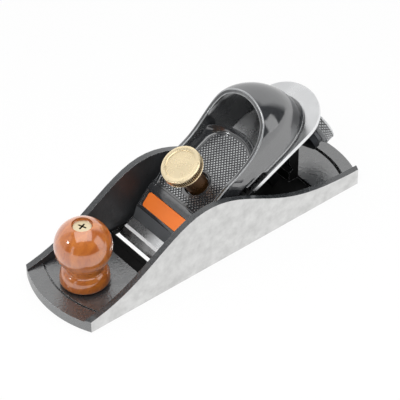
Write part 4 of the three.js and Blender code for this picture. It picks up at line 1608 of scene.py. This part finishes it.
@dataclass
class ClampScrew:
    """The brass thumb screw with its washer and its snap ring."""

    top: float = 31.2
    head_radius: float = 10.2
    head_thickness: float = 4.6
    dish_radius: float = 7.6
    dish_depth: float = 0.42
    stem_radius: float = 5.5
    thread_radius: float = 4.0
    thread_end: float = -9.0
    shoulder: float = 9.8
    ring_low: float = 4.6
    ring_thickness: float = 0.9
    ring_radius: float = 6.0
    ring_groove: float = 0.8
    washer_low: float = 8.7
    washer_thickness: float = 0.8
    fit: float = 0.3
    ridges: int = 64
    ridge_depth: float = 0.6
    thread_pitch: float = 1.25

    def profile(self) -> list[tuple[float, float]]:
        """Works out the screw's profile.

        Returns:
            Radius and height of each corner, from the thread's end to the middle of the head.
        """
        top, head, dish = self.top, self.head_radius, self.dish_radius
        thread, stem = self.thread_radius, self.stem_radius
        low, hollow = top - self.head_thickness, top - self.dish_depth
        groove = thread - self.ring_groove
        ring_top = self.ring_low + self.ring_thickness
        points = [(0, self.thread_end), (thread - 0.7, self.thread_end)]
        height = self.thread_end + 0.7
        while height < self.ring_low - 1.5:
            points.append((thread - 0.55, height))
            points.append((thread, height + self.thread_pitch / 2))
            height += self.thread_pitch
        return points + [
            (thread, self.ring_low - self.fit),
            (groove, self.ring_low - self.fit),
            (groove, ring_top + self.fit),
            (thread, ring_top + self.fit),
            (thread, self.shoulder),
            (stem - 0.3, self.shoulder),
            (stem, self.shoulder + 0.3),
            (stem, low - 1.3),
            (stem + 0.35, low - 0.4),
            (stem + 1.2, low),
            (head - 0.7, low),
            (head - 0.02, low + 0.6),
            (head, low + 0.75),
            (head, top - 0.6),
            (head - 0.05, top - 0.45),
            (head - 0.2, top - 0.2),
            (head - 0.5, top - 0.03),
            (head - 0.9, top),
            (dish + 0.25, top),
            (dish, top - 0.12),
            (dish - 0.15, hollow),
            (dish - 0.9, hollow - 0.03),
            (2.6, hollow + 0.12),
            (0, hollow + 0.15),
        ]

    def build(self) -> None:
        """Makes the screw, its washer and its snap ring."""
        steps = 2 * self.ridges
        bm = turned(self.profile(), steps=steps)
        band = (self.top - self.head_thickness + 0.7, self.top - 0.55)
        knurled(bm, steps, self.head_radius, band, lambda step, _: self.ridge_depth * (step % 2))
        Piece("clamp_screw", Body.CLAMP, Slot.BRASS, (BRASS,), smooth=36.0).settle(bm, CLAMP)

        inner, outer = self.thread_radius + self.fit, self.stem_radius + 0.3
        low, high = self.washer_low, self.washer_low + self.washer_thickness
        washer = turned([
            (inner, low), (outer, low), (outer, high - 0.15), (outer - 0.15, high), (inner, high),
        ], steps=48, closed=True)
        Piece("clamp_washer", Body.CAP, Slot.PLATED_STEEL, (NICKEL,)).settle(washer, CLAMP)

        inner, outer = self.thread_radius - self.ring_groove + self.fit, self.ring_radius
        low, high = self.ring_low, self.ring_low + self.ring_thickness
        ring = turned([
            (inner, low), (outer - 0.1, low), (outer, low + 0.1), (outer, high - 0.1),
            (outer - 0.1, high), (inner, high),
        ], steps=48, closed=True)
        Piece("clamp_ring", Body.CLAMP, Slot.DARK_STEEL, (DARK_STEEL,)).settle(ring, CLAMP)


@dataclass
class DepthAdjuster:
    """The spindle with its knurled wheel, its screw, washer and clip."""

    wheel_radius: float = 11.5
    wheel_front: float = 104.6
    wheel_rear: float = 110.8
    chamfer: float = 1.3
    cone: float = 2.4
    rounding: float = 1.0
    dish: float = 1.4
    dish_radius: float = 7.0
    knurls: int = 38
    knurl_rows: int = 8
    knurl_depth: float = 0.5
    arris: float = 0.2

    def wheel(self) -> BMesh:
        """Makes the wheel: a bright cone in front, a band of small pyramids, a rounded rear.

        Returns:
            The wheel, in the spindle's frame.
        """
        front, rear, radius = self.wheel_front, self.wheel_rear, self.wheel_radius
        bore = self.hub_radius()
        band_start, band_end = front + self.chamfer, rear - self.rounding
        knurl_start = band_start + 0.1
        pitch = (band_end - band_start - 0.2) / self.knurl_rows
        points = [
            (bore, front),
            (radius - self.cone, front),
            (radius - 0.3, band_start - 0.15),
            (radius - 0.02, band_start),
        ]
        points += [(radius, knurl_start + pitch * i) for i in range(self.knurl_rows + 1)]
        points.append((radius - 0.02, band_end))
        for i in range(1, 6):
            angle = math.pi / 2 * i / 5
            points.append((
                radius - self.rounding * (1 - math.cos(angle)),
                band_end + self.rounding * math.sin(angle),
            ))
        points += [
            (self.dish_radius + 0.3, rear),
            (self.dish_radius, rear - 0.25),
            (self.dish_radius - 0.3, rear - self.dish),
            (bore, rear - self.dish),
        ]

        def depth(step: int, height: float) -> float:
            """Gives the knurl's depth: pyramids, each four steps wide and four rows long.

            Args:
                step: Step round the wheel.
                height: Height along its axis.

            Returns:
                The depth.
            """
            around = step % 4
            along = round((height - knurl_start) / pitch) % 4
            from_corner = min(around, 4 - around) + min(along, 4 - along)
            from_middle = abs(around - 2) + abs(along - 2)
            return self.knurl_depth * min(from_corner, from_middle) / 2

        steps = 4 * self.knurls
        bm = turned(points, steps=steps, closed=True)
        knurled(bm, steps, radius, (band_start, band_end), depth)
        return bm

    def hub_radius(self) -> float:
        """Reads the wheel's bore from its CAD node.

        Returns:
            The bore's radius.
        """
        bm = cad_copy("adjuster_wheel")
        bmesh.ops.transform(bm, matrix=SPINDLE.inverted(), verts=bm.verts)
        least = min(math.hypot(vert.co.x, vert.co.y) for vert in bm.verts)
        bm.free()
        return least

    def build(self) -> None:
        """Makes the adjuster's pieces."""
        wheel = Piece(
            "adjuster_wheel", Body.ADJUSTER, Slot.PLATED_STEEL, (KNURLED_NICKEL,), smooth=22.0
        )
        wheel.settle(self.wheel(), SPINDLE)
        for node, slot, finish in (
            ("adjuster_spindle", Slot.DARK_STEEL, DARK_STEEL),
            ("wheel_screw", Slot.PLATED_STEEL, NICKEL),
            ("wheel_washer", Slot.PLATED_STEEL, DULLED_NICKEL),
            ("spindle_clip", Slot.DARK_STEEL, DARK_STEEL),
        ):
            Piece(node, Body.ADJUSTER, slot, (finish,)).settle_cad(self.arris)


# ---- studio --------------------------------------------------------------------------------------


@dataclass
class Softbox:
    """A lamp with a plain rectangular face that looks at the plane."""

    name: str
    azimuth: float
    elevation: float
    distance: float
    width: float
    height: float
    radiance: float
    mirrored: bool = True
    target: tuple[float, float, float] = (0.0, 0.0, 0.02)

    def build(self) -> None:
        """Hangs the lamp. One that is not mirrored lights matt surfaces only."""
        lamp = bpy.data.lights.new(self.name, "AREA")
        lamp.shape = "RECTANGLE"
        lamp.size = self.width
        lamp.size_y = self.height
        lamp.energy = self.radiance * math.pi * self.width * self.height
        turn, lift = math.radians(self.azimuth), math.radians(self.elevation)
        way = Vector((
            math.cos(turn) * math.cos(lift), math.sin(turn) * math.cos(lift), math.sin(lift)
        ))
        holder = put(self.name, lamp)
        holder.location = Vector(self.target) + way * self.distance
        holder.rotation_euler = way.to_track_quat("Z", "Y").to_euler()
        holder.visible_glossy = self.mirrored


@dataclass(frozen=True)
class Screen:
    """A white screen on the horizon, in degrees, and its radiance."""

    azimuth: float
    half: float
    top: float
    fade: float
    radiance: float

    def mask(self, tree: NodeTree, azimuth: Node, rise: NodeSocket) -> Node:
        """Finds where the screen is seen.

        Args:
            tree: The world's node tree.
            azimuth: The azimuth looked to, in radians.
            rise: The sine of the elevation looked to.

        Returns:
            The node that gives the screen's light.
        """
        turned_by = add_node(
            tree, "Math", {0: azimuth, 1: math.radians(self.azimuth)}, operation="SUBTRACT"
        )
        nearest = add_node(
            tree, "Math", {0: turned_by, 1: math.pi, 2: -math.pi}, operation="WRAP"
        )
        away = add_node(tree, "Math", {0: nearest}, operation="ABSOLUTE")
        ends = [math.radians(self.half + side * self.fade) for side in (-1, 1)]
        across = add_node(tree, "MapRange", {0: away, 1: ends[0], 2: ends[1], 3: 1.0, 4: 0.0})
        ends = [math.sin(math.radians(self.top + side * self.fade)) for side in (-1, 1)]
        upward = add_node(tree, "MapRange", {0: rise, 1: ends[0], 2: ends[1], 3: 1.0, 4: 0.0})
        mask = add_node(tree, "Math", {0: across, 1: upward}, operation="MULTIPLY")
        return add_node(tree, "Math", {0: mask, 1: self.radiance}, operation="MULTIPLY")


@dataclass
class Studio:
    """The camera, the pale floor and the lamps."""

    camera_place: tuple[float, float, float] = (0.4827, 0.6026, 0.6874)
    camera_right: tuple[float, float, float] = (-0.7747371, 0.6322404, -0.0073841)
    camera_up: tuple[float, float, float] = (-0.4185485, -0.5040591, 0.7554745)
    lens: float = 191.313
    floor_half: float = 6.0
    floor_drop: float = 0.2 * MM
    seen_white: float = 0.93
    mirrored_white: float = 1.15
    gloom: float = 0.05
    wall: Screen = Screen(-122, 64, 62, 7, 1.08)
    wing: Screen = Screen(-38, 21, 50, 4, 0.52)
    lamps: tuple[Softbox, ...] = (
        Softbox("top_softbox", 60, 80, 0.28, 0.34, 0.24, 1.9, target=(0.06, 0.01, 0.03)),
        Softbox("side_card", 122, 22, 0.5, 0.32, 0.42, 1.4, target=(-0.05, 0.015, 0.045)),
        Softbox("strip_lamp", 10, 0, 0.8, 0.13, 0.8, 1.1),
        Softbox("small_lamp", -20, 27, 1.1, 0.08, 0.08, 42.0),
        Softbox("front_fill", 30, 42, 1.4, 0.9, 0.9, 2.4, mirrored=False),
        Softbox("overhead_fill", 150, 70, 1.4, 0.9, 0.9, 1.6, mirrored=False),
    )

    def camera(self) -> None:
        """Sets up the camera."""
        data = bpy.data.cameras.new("view")
        data.lens = self.lens
        data.sensor_width = 36.0
        data.clip_start = 0.05
        holder = put("view", data)
        right, up = Vector(self.camera_right), Vector(self.camera_up)
        turn = Matrix((right, up, right.cross(up))).transposed().to_4x4()
        holder.matrix_world = Matrix.Translation(self.camera_place) @ turn
        bpy.context.scene.camera = holder

    def card(self) -> Material:
        """Makes the floor's matt white card, which shows white and keeps half of a shadow.

        Returns:
            The material.
        """
        material = bpy.data.materials.new("white_card")
        tree = fresh_tree(material)
        card = add_node(tree, "BsdfDiffuse", {"Color": linear("#F4F4F4")})
        rays = add_node(tree, "LightPath").outputs
        mirrored = add_node(
            tree, "Math", {0: rays["Is Glossy Ray"], 1: rays["Is Transmission Ray"]},
            operation="MAXIMUM",
        )
        strength = add_node(tree, "MapRange", {0: mirrored, 3: 1.0, 4: self.mirrored_white})
        white = add_node(tree, "Emission", {"Color": (1, 1, 1, 1), "Strength": strength})
        shown = add_node(
            tree, "Math", {0: rays["Is Camera Ray"], 1: mirrored}, operation="MAXIMUM"
        )
        share = add_node(tree, "Math", {0: shown, 1: self.seen_white}, operation="MULTIPLY")
        mix = add_node(tree, "MixShader", {0: share, 1: card, 2: white})
        add_node(tree, "OutputMaterial", {"Surface": mix})
        return material

    def floor(self) -> None:
        """Lays the floor."""
        bm = bmesh.new()
        bmesh.ops.create_grid(
            bm, x_segments=1, y_segments=1, size=self.floor_half,
            matrix=Matrix.Translation((0, 0, -self.floor_drop)),
        )
        mesh = bpy.data.meshes.new("floor")
        bm.to_mesh(mesh)
        bm.free()
        mesh.materials.append(self.card())
        floor = put("floor", mesh)

    def air(self) -> None:
        """Hangs a wide white wall behind the plane, with a dimmer wing beside it."""
        world = bpy.data.worlds.new("studio")
        bpy.context.scene.world = world
        tree = fresh_tree(world)
        way = add_node(tree, "TexCoord").outputs["Generated"]
        axes = add_node(tree, "SeparateXYZ", {0: way}).outputs
        azimuth = add_node(tree, "Math", {0: axes["Y"], 1: axes["X"]}, operation="ARCTAN2")
        light: Node | float = self.gloom
        for screen in (self.wall, self.wing):
            shine = screen.mask(tree, azimuth, axes["Z"])
            light = add_node(tree, "Math", {0: shine, 1: light}, operation="MAXIMUM")
        air = add_node(tree, "Background", {"Color": (1, 1, 1, 1), "Strength": light})
        add_node(tree, "OutputWorld", {"Surface": air})

    def build(self) -> None:
        """Sets up the studio."""
        self.camera()
        self.floor()
        self.air()
        for lamp in self.lamps:
            lamp.build()
        bpy.context.scene.view_settings.view_transform = "Standard"


def main() -> None:
    """Builds the plane and its studio."""
    logging.basicConfig(level=logging.INFO, format="%(message)s")
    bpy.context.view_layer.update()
    Studio().build()
    for assembly in (
        BodyCasting(), FrontKnob(), Cutter(), LeverCap(), ClampScrew(), DepthAdjuster()
    ):
        assembly.build()


if __name__ == "__main__":
    main()
